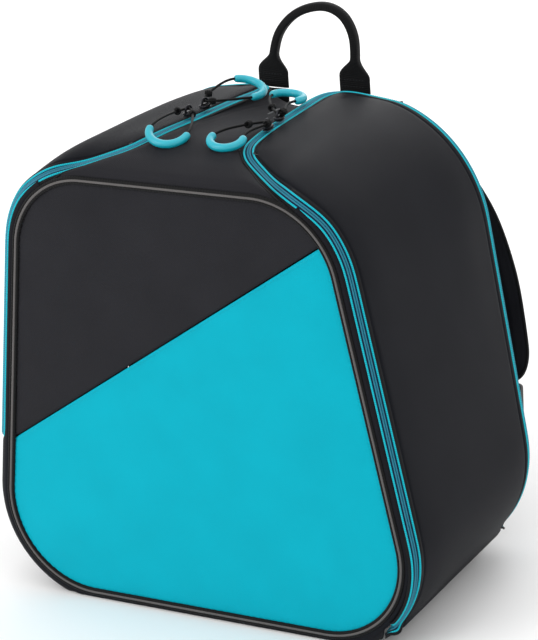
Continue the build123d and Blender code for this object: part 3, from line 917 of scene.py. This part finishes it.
def strip_patch():
    """Cloth between the two zippers, from the front piping over the top to the back valley."""
    inner = LINE - OUTWARD * DOOR_EDGE + NORMAL * (-0.1)
    start = inner[: len(inner) // 2]
    i0 = int(np.argmin(np.abs(start[:, 0] - JOIN_X - 2) + 100 * (start[:, 2] < 250)))
    i1 = int(np.argmin(np.linalg.norm(LINE - np.array((33, 104, 360.0)), axis=1)))
    right = inner[i0:i1 + 1]
    loop = on_front(piping_loop(2.0), PIPING_Y + 0.3)
    top = loop[(loop[:, 2] > 250) & (np.abs(loop[:, 0]) <= JOIN_X)]
    top = top[np.argsort(-top[:, 0])]
    us = edge_steps(230, near=NEAR_EDGE)
    vs = edge_steps(150, near=NEAR_EDGE, step=4.0)
    right = spread(right, us)
    top = np.vstack([right[:1], top, mirror(right[:1], -1)])
    front = spread(top, vs)
    a = right[-1]
    rim = rear_loop(-0.8, -1.6)
    rim = rim[(rim[:, 2] > 300) & (np.abs(rim[:, 0]) < a[0] - 1)]
    back = np.vstack([a, rim[np.argsort(-rim[:, 0])], mirror(a, -1)])
    back = spread(back, vs)
    P = coons(front, back, right, mirror(right, -1), us, vs)
    U, V = us[:, None], vs[None, :]
    P[..., 2] += 1.6 * np.sin(np.pi * U) * np.sin(np.pi * V)
    n = outward_normals(P, 2)
    width = np.linalg.norm(P[:, 0] - P[:, -1], axis=1)[:, None]
    across = np.minimum(V, 1 - V) * width
    along = from_edges(U, 235)
    return puffed(P, n, along + 2.0, across, 0.8, groove=9.5, seed=2.6, soft=0.5)


def make_strip():
    P = strip_patch()
    ob = grid_mesh("top_strip_cloth", P, ["charcoal"], flip=True)
    thicken(ob, CLOTH_THICK["strip"], "lining")
    dress(ob, "bag_body", ["top_strip"])


LOWER_LONG, LOWER_WIDE = 150, 180


def make_lower_left():
    """Fixed lower side panel, from the base up to the left door's seam."""
    front = on_front(piping_loop(11.6), -95.0)
    front = mirror(front[: len(front) // 2], 1)
    front = front[(front[:, 2] > 4) & (front[:, 2] < LEFT_END_Z - 0.6)]
    us = edge_steps(LOWER_LONG, near=NEAR_EDGE)
    vs = edge_steps(LOWER_WIDE)
    front = spread(front, us)
    rear_s = np.linspace(1.02, 2.6, 200)
    rear = body(rear_s, np.full(200, 0.985))
    rear = rear[(rear[:, 2] > 4) & (rear[:, 2] < LEFT_END_Z - 0.6)]
    rear = spread(rear, us)
    fs, rs = on_body(front), on_body(rear)
    st = (1 - vs[None, :, None]) * fs[:, None] + vs[None, :, None] * rs[:, None]
    P = body(st[..., 0], st[..., 1])
    V = vs[None, :, None]
    P = P + (1 - V) * (front - P[:, 0])[:, None] + V * (rear - P[:, -1])[:, None]
    n = outward_normals(P, 0)
    along = from_edges(us, LOWER_LONG)[:, None]
    across = from_edges(vs, LOWER_WIDE)[None, :]
    P = puffed(P, n, along, across, 1.2, seed=7.0, soft=0.6)
    P[..., 2] = np.maximum(P[..., 2], 0.5)
    ob = grid_mesh("left_lower_side_cloth", mirror(P, -1), ["side"])
    thicken(ob, CLOTH_THICK["lower_side"], "lining")
    dress(ob, "bag_body", ["left_lower_side_panel"])


def make_base():
    """Flat base with its welt, turned up a little at both sides."""
    right = np.linspace(0, 1.62, 34)
    t = edge_steps(176, near=(0, 1.5, 3, 5, 9), step=8)
    rows = np.vstack([body(np.full(len(t), s), t * 0.985 + 0.005, -1) for s in right[:0:-1]]
                     + [body(np.full(len(t), s), t * 0.985 + 0.005, 1) for s in right])
    rows = rows.reshape(-1, len(t), 3)
    keep = rows[:, len(t) // 2, 2] < HINGE_Z - 0.3
    rows = rows[keep]
    rows[..., 2] = np.maximum(rows[..., 2], 0.25)
    ob = grid_mesh("base_cloth", rows, ["base"])
    thicken(ob, CLOTH_THICK["base"], "lining")
    dress(ob, "bag_body", ["base_panel"])
    for side, tag in ((1, "right"), (-1, "left")):
        edge = rows[0] if rows[0, 0, 0] * side > 0 else rows[-1]
        welt = sweep(f"{tag}_base_welt", edge + (0, 0, 0.4), circle(1.3, 10), ["bind"], ends=True)
        dress(welt, "bag_body")


def rear_loop(grow=0.0, back=0.0, n=700):
    """Closed outline of the back panel in its leaning plane, moved out by grow and back by back."""
    top = STATIONS[-1, 3]
    s = np.linspace(1.0, 4.0, 240)
    xz = half_section(station(np.full(240, DEPTHS[-1])), s)
    humps = curve_through([(xz[-1, 0], top), (44, top - 0.3), (33, top - 3.2), (22, 349.0), (12, 345.6),
                           (0, 344.8)], 14)
    right = np.vstack([[(0, -FLOOR_CUT)], xz, humps[1:]])
    pts = np.vstack([right, (right * (-1, 1))[-2:0:-1]])
    pts = soften(resample(np.vstack([pts, pts[:1]]), n + 1)[:-1], 10, closed=True)
    T = tangents(pts, closed=True)
    out = np.stack([T[:, 1], -T[:, 0]], 1)
    pts = pts + out * grow
    pts[:, 1] = np.maximum(pts[:, 1], 0.6)
    return on_rear(pts, back)


def on_rear(xz, back):
    """Plane of the rear rim, moved out of the bag's back by back."""
    a = LEAN_ANGLE
    up = xz[:, 1] / math.cos(a)
    return np.stack([xz[:, 0], DEPTHS[-1] + math.sin(a) * up + math.cos(a) * back,
                     math.cos(a) * up - math.sin(a) * back], 1)


def make_back():
    """Rear border, bound edge and padded back panel with sewn channels."""
    rim = [rear_loop(-1.2, -2.2), rear_loop(-2.6, 1.2), rear_loop(-4.2, 2.4), rear_loop(-6.0, 2.9)]
    ob = grid_mesh("rear_border_cloth", np.stack(rim, 1), ["side"], wrap=(True, False))
    thicken(ob, CLOTH_THICK["rear"], "lining")
    dress(ob, "bag_body", ["rear_gusset"])
    binding = sweep("back_edge_binding", rear_loop(-6.4, 3.2), circle(2.1, 10), ["bind"], closed=True)
    dress(binding, "bag_body", ["back_piping"])
    edge = rear_loop(-7.4, 0.0)[:, [0, 2]]
    cos_lean = math.cos(LEAN_ANGLE)
    edge = np.stack([edge[:, 0], edge[:, 1] / cos_lean], 1) * (1, cos_lean)
    centre = np.array((0.0, 178.0))
    rings = np.concatenate([[0, 0.006, 0.014, 0.024, 0.038, 0.056, 0.08], np.linspace(0.11, 1, 60)])
    xz = centre + (edge - centre)[:, None] * (1 - rings)[None, :, None]
    dist = np.linalg.norm(edge - centre, axis=1)[:, None] * rings[None]
    depth = 3.0 + 8.4 * (1 - np.exp(-dist / 5.5)) + 1.6 * (1 - np.exp(-dist / 40))
    x, z = xz[..., 0], xz[..., 1]
    depth -= 4.2 * np.exp(-((np.abs(x) - 17) / 4.2) ** 2) * smooth_step((dist - 14) / 22)
    for slope_z in (72, 132, 192, 252):
        line = z - slope_z - 0.32 * (np.abs(x) - 17)
        fade = smooth_step((np.abs(x) - 20) / 8) * smooth_step((dist - 12) / 16)
        depth -= 3.4 * np.exp(-(line / 3.6) ** 2) * fade
    depth += 0.35 * ripple(x / 26, z / 24, 3.3)
    normal, _ = rear_axes()
    P = np.stack([on_rear(xz[:, j], 0) + depth[:, j, None] * normal for j in range(len(rings))], 1)
    P[..., 2] = np.maximum(P[..., 2], 0.8)
    pad = grid_mesh("back_panel_padded", P, ["mesh"], wrap=(True, False))
    planar_uv(pad)
    dress(pad, "bag_body", ["back_panel"])
    inside = np.stack([rear_loop(-5.0, -1.6), rear_loop(-60, -1.9), rear_loop(-100, -2.0)], 1)
    liner = grid_mesh("back_lining", inside, ["lining"], wrap=(True, False), flip=True)
    planar_uv(liner)
    fill_centre(liner, inside[:, -1])
    thicken(liner, CLOTH_THICK["liner"])
    dress(liner, "bag_body")


def fill_centre(ob, ring):
    """Closes the hole in the middle of a ring patch with a fan."""
    bm = bmesh.new()
    bm.from_mesh(ob.data)
    edges = [e for e in bm.edges if e.is_boundary and
             min(np.linalg.norm(ring * MM - np.array(e.verts[0].co), axis=1)) < 1e-6]
    bmesh.ops.contextual_create(bm, geom=edges)
    bm.to_mesh(ob.data)
    bm.free()
    for poly in ob.data.polygons:
        poly.use_smooth = True


def planar_uv(ob):
    """UVs straight from X and Z, in millimetres."""
    co = np.array([v.co for v in ob.data.vertices]) / MM
    write_uvs(ob.data, co[:, [0, 2]])


# ---------------------------------------------------------------- front panel
SEAM_L, SEAM_R = np.array((-168.0, 125.0)), np.array((126.0, 315.0))


def above_seam(xz):
    d = SEAM_R - SEAM_L
    return ((xz - SEAM_L) @ np.array((-d[1], d[0]))) / np.linalg.norm(d)


def make_front():
    loop = piping_loop(-1.4, 1200)
    high = above_seam(loop)
    for name, keep, mat, slot, node in (
            ("front_upper_cloth", high > 0, "charcoal", "front_fabric", "front_panel_upper"),
            ("front_lower_cloth", high <= 0, "teal", "teal_fabric", "front_panel_lower")):
        start = int(np.nonzero(keep & ~np.roll(keep, 1))[0][0])
        arc = np.roll(loop, -start, axis=0)[: int(keep.sum())]
        line = np.linspace(arc[-1], arc[0], 320)[1:-1]
        outline = resample(np.vstack([arc, line, arc[:1]]), 1101)[:-1]
        centre = outline.mean(0)
        rings = np.concatenate([[0, 0.004, 0.009, 0.015, 0.022, 0.03, 0.042, 0.06, 0.085],
                                np.linspace(0.12, 0.985, 48)])
        xz = centre + (outline - centre)[:, None] * (1 - rings)[None, :, None]
        flat = xz.reshape(-1, 2)
        edge_d = np.min(np.stack([np.linalg.norm(flat - p, axis=1) for p in loop[::6]]), axis=0)
        seam_d = np.abs(above_seam(flat))
        rise = 2.6 * (1 - np.exp(-edge_d / 22)) + 0.8 * (1 - np.exp(-edge_d / 4))
        rise -= 1.0 * np.exp(-(seam_d / 1.1) ** 2) + (0.5 * np.exp(-(seam_d / 6) ** 2))
        x, z = flat[:, 0], flat[:, 1]
        rise += 0.42 * ripple(x / 48, z / 43, 5.1) * (1 - np.exp(-edge_d / 18))
        rise += 0.2 * np.exp(-edge_d / 9) * np.sin((x + z) / 6.5 + 2 * np.sin(z / 37)) * (1 - np.exp(-edge_d / 2.5))
        y = PIPING_Y + 0.3 - rise
        P = np.stack([x, y, z], 1).reshape(len(outline), len(rings), 3)
        ob = grid_mesh(name, P, [mat], wrap=(True, False), flip=True)
        planar_uv(ob)
        fill_centre(ob, P[:, -1])
        thicken(ob, CLOTH_THICK["front"], "lining")
        dress(ob, "bag_body", [node])
    # folded, stitched edge along the colour seam
    d = (SEAM_R - SEAM_L) / np.linalg.norm(SEAM_R - SEAM_L)
    ends = loop[np.argsort(np.abs(high))[:12]]
    left, right = ends[ends[:, 0] < 0][0], ends[ends[:, 0] > 0][0]
    row = on_front(np.linspace(left + d * 4, right - d * 4, 300), PIPING_Y - 2.9)
    stitch_rows("seam_stitches", row + np.array((d[1], 0, -d[0])) * 3.0, (0, -1, 0), "bag_body", 3.2, mat="stripe")
    # piping: round cord in reflective cloth, with its sewn-in black edges
    core = on_front(piping_loop(0.1), PIPING_Y - 0.9)
    cord = sweep("front_piping_tube", core, circle(1.35, 14), ["reflective"], closed=True, up=(0, -1, 0))
    dress(cord, "bag_body", ["front_piping"])
    for grow, tag in ((-1.7, "inner"), (1.9, "outer")):
        row = on_front(piping_loop(grow), PIPING_Y - 0.9)
        edge = sweep(f"front_piping_{tag}_edge", row, circle(1.35, 8), ["seam"], closed=True, up=(0, -1, 0))
        dress(edge, "bag_body")


def stitch_rows(name, P, up, ride, gap, mat="thread", width=0.42, share=0.62, lift=0.1):
    """A row of single stitches lying on a surface along P."""
    P = np.asarray(P, float)
    d = lengths(P)
    count = max(1, int(d[-1] / gap))
    verts, faces = [], []
    u = np.asarray(up, float)
    for k in range(count):
        a, b = (k + 0.5 - share / 2) * gap, (k + 0.5 + share / 2) * gap
        pts = resample(P, at=np.linspace(a, b, 4))
        t = unit(pts[-1] - pts[0])
        side = unit(np.cross(t, u))
        arch = np.array((0.0, 0.8, 0.8, 0.0)) * width * 0.8
        wide = np.array((0.55, 1, 1, 0.55)) * width / 2
        base = len(verts)
        for p, h, w in zip(pts, arch, wide):
            for c, s in ((1, 0), (0.3, 0.9), (-0.3, 0.9), (-1, 0)):
                verts.append(p + side * (w * c) + u * (h + lift + s * width * 0.5))
        for i in range(3):
            for j in range(3):
                q = base + i * 4 + j
                faces.append((q, q + 1, q + 5, q + 4))
    uvs = np.array([(i * 0.3, i % 4 * 0.3) for i in range(len(verts))])
    ob = link_mesh(name, np.array(verts), faces, [mat], uvs)
    dress(ob, ride)
    return ob


# ---------------------------------------------------------------- seams over the top, divider
def make_seams():
    """Dark seams that part the border from the top strip on both sides."""
    for side, tag in ((1, "right"), (-1, "left")):
        pts = ((100, -102.4, 343.2), (91, -100.0, 349.8), (80, -93.5, 353.0), (66, -82, 356.6), (52, -69.5, 360.6),
               (40.5, -58, 363.8), (33.5, -47, 365.6), (30.5, -34, 366.2))
        line = mirror(resample(curve_through(pts), step=2.0), side)
        line = drop_on("top_strip_cloth", line, 0.15)
        ob = sweep(f"{tag}_top_seam", line, circle(0.75, 8), ["seam"])
        dress(ob, "bag_body")


def drop_on(name, P, lift):
    """Lowers each point onto the top of a mesh."""
    dg = bpy.context.evaluated_depsgraph_get()
    tree = BVHTree.FromObject(bpy.data.objects[name], dg)
    out = P.copy()
    for i, p in enumerate(P):
        hit = tree.find_nearest(Vector(p * MM))
        if hit[0] is not None:
            n = hit[1]
            out[i] = np.array(hit[0] + n * (lift * MM if n.z > 0 else -lift * MM)) / MM
    return soften(out, 3)


def make_divider():
    lo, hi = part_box("centre_divider")
    y0, y1 = lo.y / MM + 1.5, hi.y / MM - 1.0
    ys = np.linspace(y0, y1, 40)
    rows = []
    for f in np.linspace(0, 1, 50):
        top = np.interp(ys, (-95, -50, 10, 70, 100), (341, 356.5, 358.4, 355, 340))
        z = 3.6 + (top - 3.6) * f
        rear_limit = 78 + LEAN * z
        shift = y0 + (ys - y0) * (np.minimum(y1, rear_limit) - y0) / (y1 - y0)
        x = 0.9 * np.sin(f * 5 + ys / 33) * math.sin(math.pi * f)
        rows.append(np.stack([x, shift, z], 1))
    ob = grid_mesh("centre_divider_cloth", np.array(rows), ["lining"])
    thicken(ob, CLOTH_THICK["divider"], offset=0.0)
    dress(ob, "bag_body", ["centre_divider"])


# ---------------------------------------------------------------- carrying handle
HANDLE_Y = 125.0
HANDLE_FOOT_X = 36.5
HANDLE_FLAT, HANDLE_FOLDED = 26.6, 7.0     # width of the webbing laid flat, and folded to a grip


def handle_line():
    pts = ((-36.5, 353.6), (-36.0, 368), (-34.0, 380), (-27.5, 398), (-14, 412.5), (2, 420), (19, 421.5), (31.5, 415),
           (38.5, 401), (39.0, 385), (37.0, 370), (36.5, 353.6))
    xz = curve_through([(x, HANDLE_Y, z) for x, z in pts], 14)
    return soften(resample(xz, step=1.6), 6)


def make_handle():
    P = handle_line()
    d = lengths(P)
    total = d[-1]

    def wide(at):
        e = min(at, total - at)
        return HANDLE_FLAT - (HANDLE_FLAT - HANDLE_FOLDED) * smooth_step((e - 13) / 15)

    n = len(P)
    T = tangents(P)
    out = np.array((0, 1.0, 0))
    side = unit(np.cross(T, out))
    rings = []
    for i in range(n):
        w = wide(d[i])
        fold = (HANDLE_FLAT - w) / (HANDLE_FLAT - HANDLE_FOLDED)
        prof = []
        for a in np.linspace(0, 2 * np.pi, 36, endpoint=False):
            c, s = math.cos(a), math.sin(a)
            flat_x = w / 2 * np.sign(c) * abs(c) ** 0.35
            thick = 1.45 * (1 - fold) + 3.6 * fold
            flat_y = thick * np.sign(s) * abs(s) ** (0.55 + 0.35 * fold)
            # where the webbing folds over, its edges meet in a shallow seam at the back
            flat_y -= fold * 0.9 * math.exp(-(flat_x / 1.1) ** 2) * (1 if s > 0 else 0)
            prof.append(P[i] + side[i] * flat_x + out * flat_y)
        rings.append(prof)
    ob = grid_mesh("carry_handle_webbing", np.array(rings), ["web"], wrap=(False, True))
    close_ends(ob, n, 36)
    dress(ob, "carry_handle", ["carry_handle"])
    for x in (-HANDLE_FOOT_X, HANDLE_FOOT_X):
        for dz in (3.0, 8.5):
            row = np.array([(x - 11.5, HANDLE_Y, 356 + dz), (x + 11.5, HANDLE_Y, 356 + dz)])
            for face in (-1, 1):
                tag = f"{'l' if x < 0 else 'r'}_{int(dz)}_{'b' if face > 0 else 'f'}"
                stitch_rows(f"handle_stitch_{tag}", row + (0, face * 1.5, 0), (0, face, 0), "carry_handle", 2.6)
    tab_on_back("handle_tab_left", -HANDLE_FOOT_X, "bag_body")
    tab_on_back("handle_tab_right", HANDLE_FOOT_X, "bag_body")


def rear_axes():
    """Out of the back, and up along it."""
    a = LEAN_ANGLE
    return np.array((0, math.cos(a), -math.sin(a))), np.array((0, math.sin(a), math.cos(a)))


def strap_of(name, P, wide, thick, out, mat="web", ride="bag_body", replaces=(), bow=0.0):
    """Flat webbing along P, its edges rounded, out pointing off its face."""
    prof = rounded_box(wide, thick, thick * 0.45, 5)
    prof = np.column_stack([prof[:, 0], prof[:, 1] + bow * np.cos(prof[:, 0] / wide * np.pi)])
    T = tangents(P)
    U = unit(out - (T @ out)[:, None] * T)
    ob = sweep(name, P, prof, [mat], frames=(T, np.cross(T, U), U))
    return dress(ob, ride, replaces)


def tab_on_back(node, x, ride):
    normal, up = rear_axes()
    lo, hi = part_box(node)
    z0, z1 = lo.z / MM + 1, hi.z / MM + 2.5
    base = np.array((x, DEPTHS[-1], 0)) + normal * 14.2
    line = np.array([base + up * (z / up[2] + 14.2 * up[1]) for z in np.linspace(z0, z1, 16)])
    strap_of(f"{node}_webbing", line, 26.6, 2.4, normal, ride=ride, replaces=[node])
    for k, z in enumerate((3.5, 8.5, 20.0, 25.0)):
        mid = line[0] + up * z + normal * 1.2
        row = np.array([mid + (-11.5, 0, 0), mid + (11.5, 0, 0)])
        stitch_rows(f"{node}_stitch_{k}", row, normal, ride, 2.6)


# ---------------------------------------------------------------- shoulder straps
def strap_axes(side):
    normal, up = rear_axes()
    base = np.array((0, DEPTHS[-1], 0)) + normal * 21.0
    top = base + np.array((side * 71.0, 0, 0)) + up * 328.0
    foot = base + np.array((side * 148.0, 0, 0)) + up * 56.0
    along = unit(foot - top)
    return top, along, normal, unit(np.cross(along, normal)), float(np.linalg.norm(foot - top))


# webbing through the ladder lock: distance past the pad's end, height
THREADING = ((31, 0), (27, 1.2), (23.5, 2.9), (19, 3.3), (15, 1.0), (11, -0.6), (6.5, 0.8), (2.5, 2.6), (-3, 3.2),
             (-12, 4.6))
PAD_HALF, PAD_TIP_HALF, PAD_TIP_LONG = 27.5, 13.0, 26.0


def make_straps():
    pad_arc = arc_through((14, 10, 0), (120, 66, 0), (222, 47, 0), 90)[:, :2]
    for side, tag in ((1, "right"), (-1, "left")):
        top, along, normal, across, length = strap_axes(side)
        ride = f"{tag}_strap"

        def place(xy, w, h, t2):
            return top + along * xy[0] + normal * xy[1] + across * w + h * (along * -t2[1] + normal * t2[0])
        T2 = tangents(np.column_stack([pad_arc, np.zeros(len(pad_arc))]))[:, :2]
        d = lengths(np.column_stack([pad_arc, np.zeros(len(pad_arc))]))
        total = d[-1]
        a = np.linspace(0, 2 * np.pi, 44, endpoint=False)
        rings = []
        for i in range(len(pad_arc)):
            e = min(d[i], total - d[i])
            tip = math.sqrt(max(0.0, 1 - (1 - min(1, e / PAD_TIP_LONG)) ** 2))
            w = PAD_TIP_HALF + (PAD_HALF - PAD_TIP_HALF) * tip
            w = w * (0.94 + 0.06 * math.cos(2 * math.pi * (d[i] / total - 0.4)))
            full = 1.6 + 3.0 * smooth_step(e / 16)
            ring = []
            for ang in a:
                c, s = math.cos(ang), math.sin(ang)
                x = w * np.sign(c) * abs(c) ** 0.55
                edge = 1 - abs(x) / w
                y = full * np.sign(s) * (abs(s) ** 0.75) * (0.42 + 0.58 * smooth_step(edge / 0.3))
                y -= np.sign(s) * 0.7 * math.exp(-((w - abs(x) - 5.5) / 1.3) ** 2)
                y += 0.25 * math.sin(d[i] / 9.0 + x / 7) * smooth_step(e / 20)
                ring.append(place(pad_arc[i], x, y, T2[i]))
            rings.append(ring)
        pad = grid_mesh(f"{tag}_shoulder_pad_cloth", np.array(rings), ["side"], wrap=(False, True))
        close_ends(pad, len(pad_arc), 44)
        dress(pad, ride, [f"{tag}_shoulder_pad"])
        # bound edge all round the pad
        rows = np.array(rings)
        rim = np.vstack([rows[:, 0], rows[::-1, 22]])
        rim = soften(resample(np.vstack([rim, rim[:1]]), 400)[:-1], 8, closed=True)
        bind = sweep(f"{tag}_pad_binding", rim, circle(1.35, 9), ["bind"], closed=True)
        dress(bind, ride)
        # webbing sewn along the pad's face, down to the buckle
        i0, i1 = 8, len(pad_arc) - 1

        def along_face(w, height):
            """Row on the pad's face, dipping over its last few steps."""
            return np.array([place(pad_arc[i], w, height - 0.5 * max(0, i - i1 + 6), T2[i]) for i in range(i0, i1)])
        face = along_face(0, 4.9)
        strap_of(f"{tag}_pad_webbing", face, 24.5, 1.5, normal, ride=ride)
        for s2 in (-10.8, 10.8):
            stitch_rows(f"{tag}_pad_stitch_{'a' if s2 < 0 else 'b'}", along_face(s2, 5.7), normal, ride, 3.2, lift=0.0)
        # lower webbing with a loose tail
        t_end = T2[-1]
        start = pad_arc[-1] + t_end * (2.5 + 31)
        web = np.array([place(start + (np.array((length - 4, 1.2)) - start) * f, 0, 0, t_end)
                        for f in np.linspace(0, 1, 20)])
        strap_of(f"{tag}_lower_webbing", web, 24.6, 1.7, normal, ride=ride, replaces=[f"{tag}_strap_webbing"])
        threaded = [place(pad_arc[-1] + t_end * (2.5 + x), 0, h, t_end) for x, h in THREADING]
        threaded = resample(curve_through(threaded, 8), step=1.0)
        strap_of(f"{tag}_threaded_webbing", threaded, 24.0, 1.3, normal, ride=ride)
        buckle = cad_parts[f"{tag}_ladder_lock"]
        buckle.data.materials.clear()
        buckle.data.materials.append(MAT["plastic"])
        # sewn tabs at both ends
        h = -9.0 + 1.4
        for kind, x0, x1, wide in (("top", -22.0, 4.0, 27.6), ("foot", length - 2, length + 16, 24.6)):
            line = np.array([top + along * x + normal * h for x in np.linspace(x0, x1, 10)])
            node = f"{tag}_strap_{kind}_tab"
            strap_of(f"{node}_webbing", line, wide, 1.8, normal, replaces=[node])
            for k, x in enumerate((x0 + 3, x0 + 7)):
                mid = top + along * x + normal * (h + 1.0)
                row = np.array([mid - across * (wide / 2 - 2), mid + across * (wide / 2 - 2)])
                stitch_rows(f"{node}_stitch_{k}", row, normal, "bag_body", 2.6)


# ---------------------------------------------------------------- sliders
def slider_shape(name, node):
    """Moulded metal slider: tapered lower and upper plates, neck, and a round-wire bail."""
    lo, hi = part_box(node)
    cx, cy = (lo.x + hi.x) / 2 / MM, (lo.y + hi.y) / 2 / MM
    z0 = lo.z / MM
    direction = 1 if cx > 0 else -1
    turn = direction * math.atan2(44 - 24.8, 164)
    front = 1 if "front" in node else -1
    parts = []
    outline = []
    for a in np.linspace(0, 2 * np.pi, 40, endpoint=False):
        c, s = math.cos(a), math.sin(a)
        w = 4.1 * np.sign(c) * abs(c) ** 0.6
        y = 5.3 * np.sign(s) * abs(s) ** 0.7
        w *= 0.80 + 0.20 * (0.5 + 0.5 * y / 5.3)
        outline.append((w, y))
    outline = np.array(outline)
    for base, rise, k in ((0.1, 1.0, 0.97), (1.5, 1.5, 1.0)):
        levels = [(0, 0.9), (0.25, 1.0), (0.7, 1.0), (1.0, 0.86), (1.08, 0.55), (1.1, 0.12)]
        ring = [np.column_stack([outline * (f * k), np.full(40, z0 + base + h * rise)]) for h, f in levels]
        ob = grid_mesh(f"{name}_{base}", np.stack(ring, 0), ["metal"], wrap=(False, True))
        close_ends(ob, len(levels), 40)
        parts.append(ob)
    arch = [(0, 3.6 * math.cos(a), z0 + 3.0 + 4.7 * math.sin(a) ** 0.8)
            for a in np.linspace(0.001, math.pi - 0.001, 30)]
    parts.append(sweep(f"{name}_bail", np.array(arch), rounded_box(1.9, 1.35, 0.5), ["metal"], up=(1, 0, 0)))
    neck = [(0, y, z0 + 2.9) for y in np.linspace(-4.4, 4.4, 8)]
    parts.append(sweep(f"{name}_rib", np.array(neck), circle(0.9, 10), ["metal"]))
    ob = join(name, parts)
    ob.data.transform(Matrix.Rotation(turn if front > 0 else turn + math.pi, 4, "Z"))
    ob.data.transform(Matrix.Translation((cx * MM, cy * MM, 0)))
    for poly in ob.data.polygons:
        poly.use_smooth = True
    return dress(ob, node, [node])


def make_sliders():
    for tag in ("right", "left"):
        for where in ("front", "rear"):
            slider_shape(f"{tag}_{where}_slider_cast", f"{tag}_{where}_slider")


# ---------------------------------------------------------------- studio
def make_studio():
    steps = np.linspace(-6000, 6000, 5)
    floor = grid_mesh("floor", np.array([[(x, y, -0.4) for y in steps] for x in steps]), [])
    m = Nodes("studio_floor")
    m.shader.inputs["Base Color"].default_value = (0.95, 0.95, 0.95, 1)
    m.shader.inputs["Roughness"].default_value = 0.7
    floor.data.materials.append(m.mat)
    world = bpy.data.worlds.new("studio")
    world.use_nodes = True
    world.node_tree.nodes["Background"].inputs[0].default_value = (1, 1, 1, 1)
    world.node_tree.nodes["Background"].inputs[1].default_value = 1.0
    bpy.context.scene.world = world
    bpy.context.scene.view_settings.view_transform = "Standard"
    for name, at, size, power, aim in (
            ("key", (-0.9, -1.9, 1.9), 1.5, 16, (0, 0, 0.2)),
            ("side_key", (-1.0, -1.1, 0.35), 0.5, 2.5, (-0.1, -0.1, 0.1)),
            ("fill", (2.2, -0.9, 1.2), 1.6, 2.5, (0, 0, 0.2)),
            ("top", (0.2, 0.3, 2.4), 1.5, 6, (0, 0, 0.2)),
            ("back", (-0.6, 2.2, 1.3), 1.6, 12, (0, 0, 0.2))):
        data = bpy.data.lights.new(name, "AREA")
        data.size = size
        data.energy = power
        ob = add_object(name, data)
        ob.location = at
        ob.rotation_mode = "QUATERNION"
        ob.rotation_quaternion = (Vector(aim) - Vector(at)).to_track_quat("-Z", "Y")


make_camera()
make_pulls()
make_zips()
make_doors()
make_border()
make_strip()
make_lower_left()
make_base()
make_back()
make_front()
make_seams()
make_divider()
make_handle()
make_straps()
make_sliders()
make_studio()
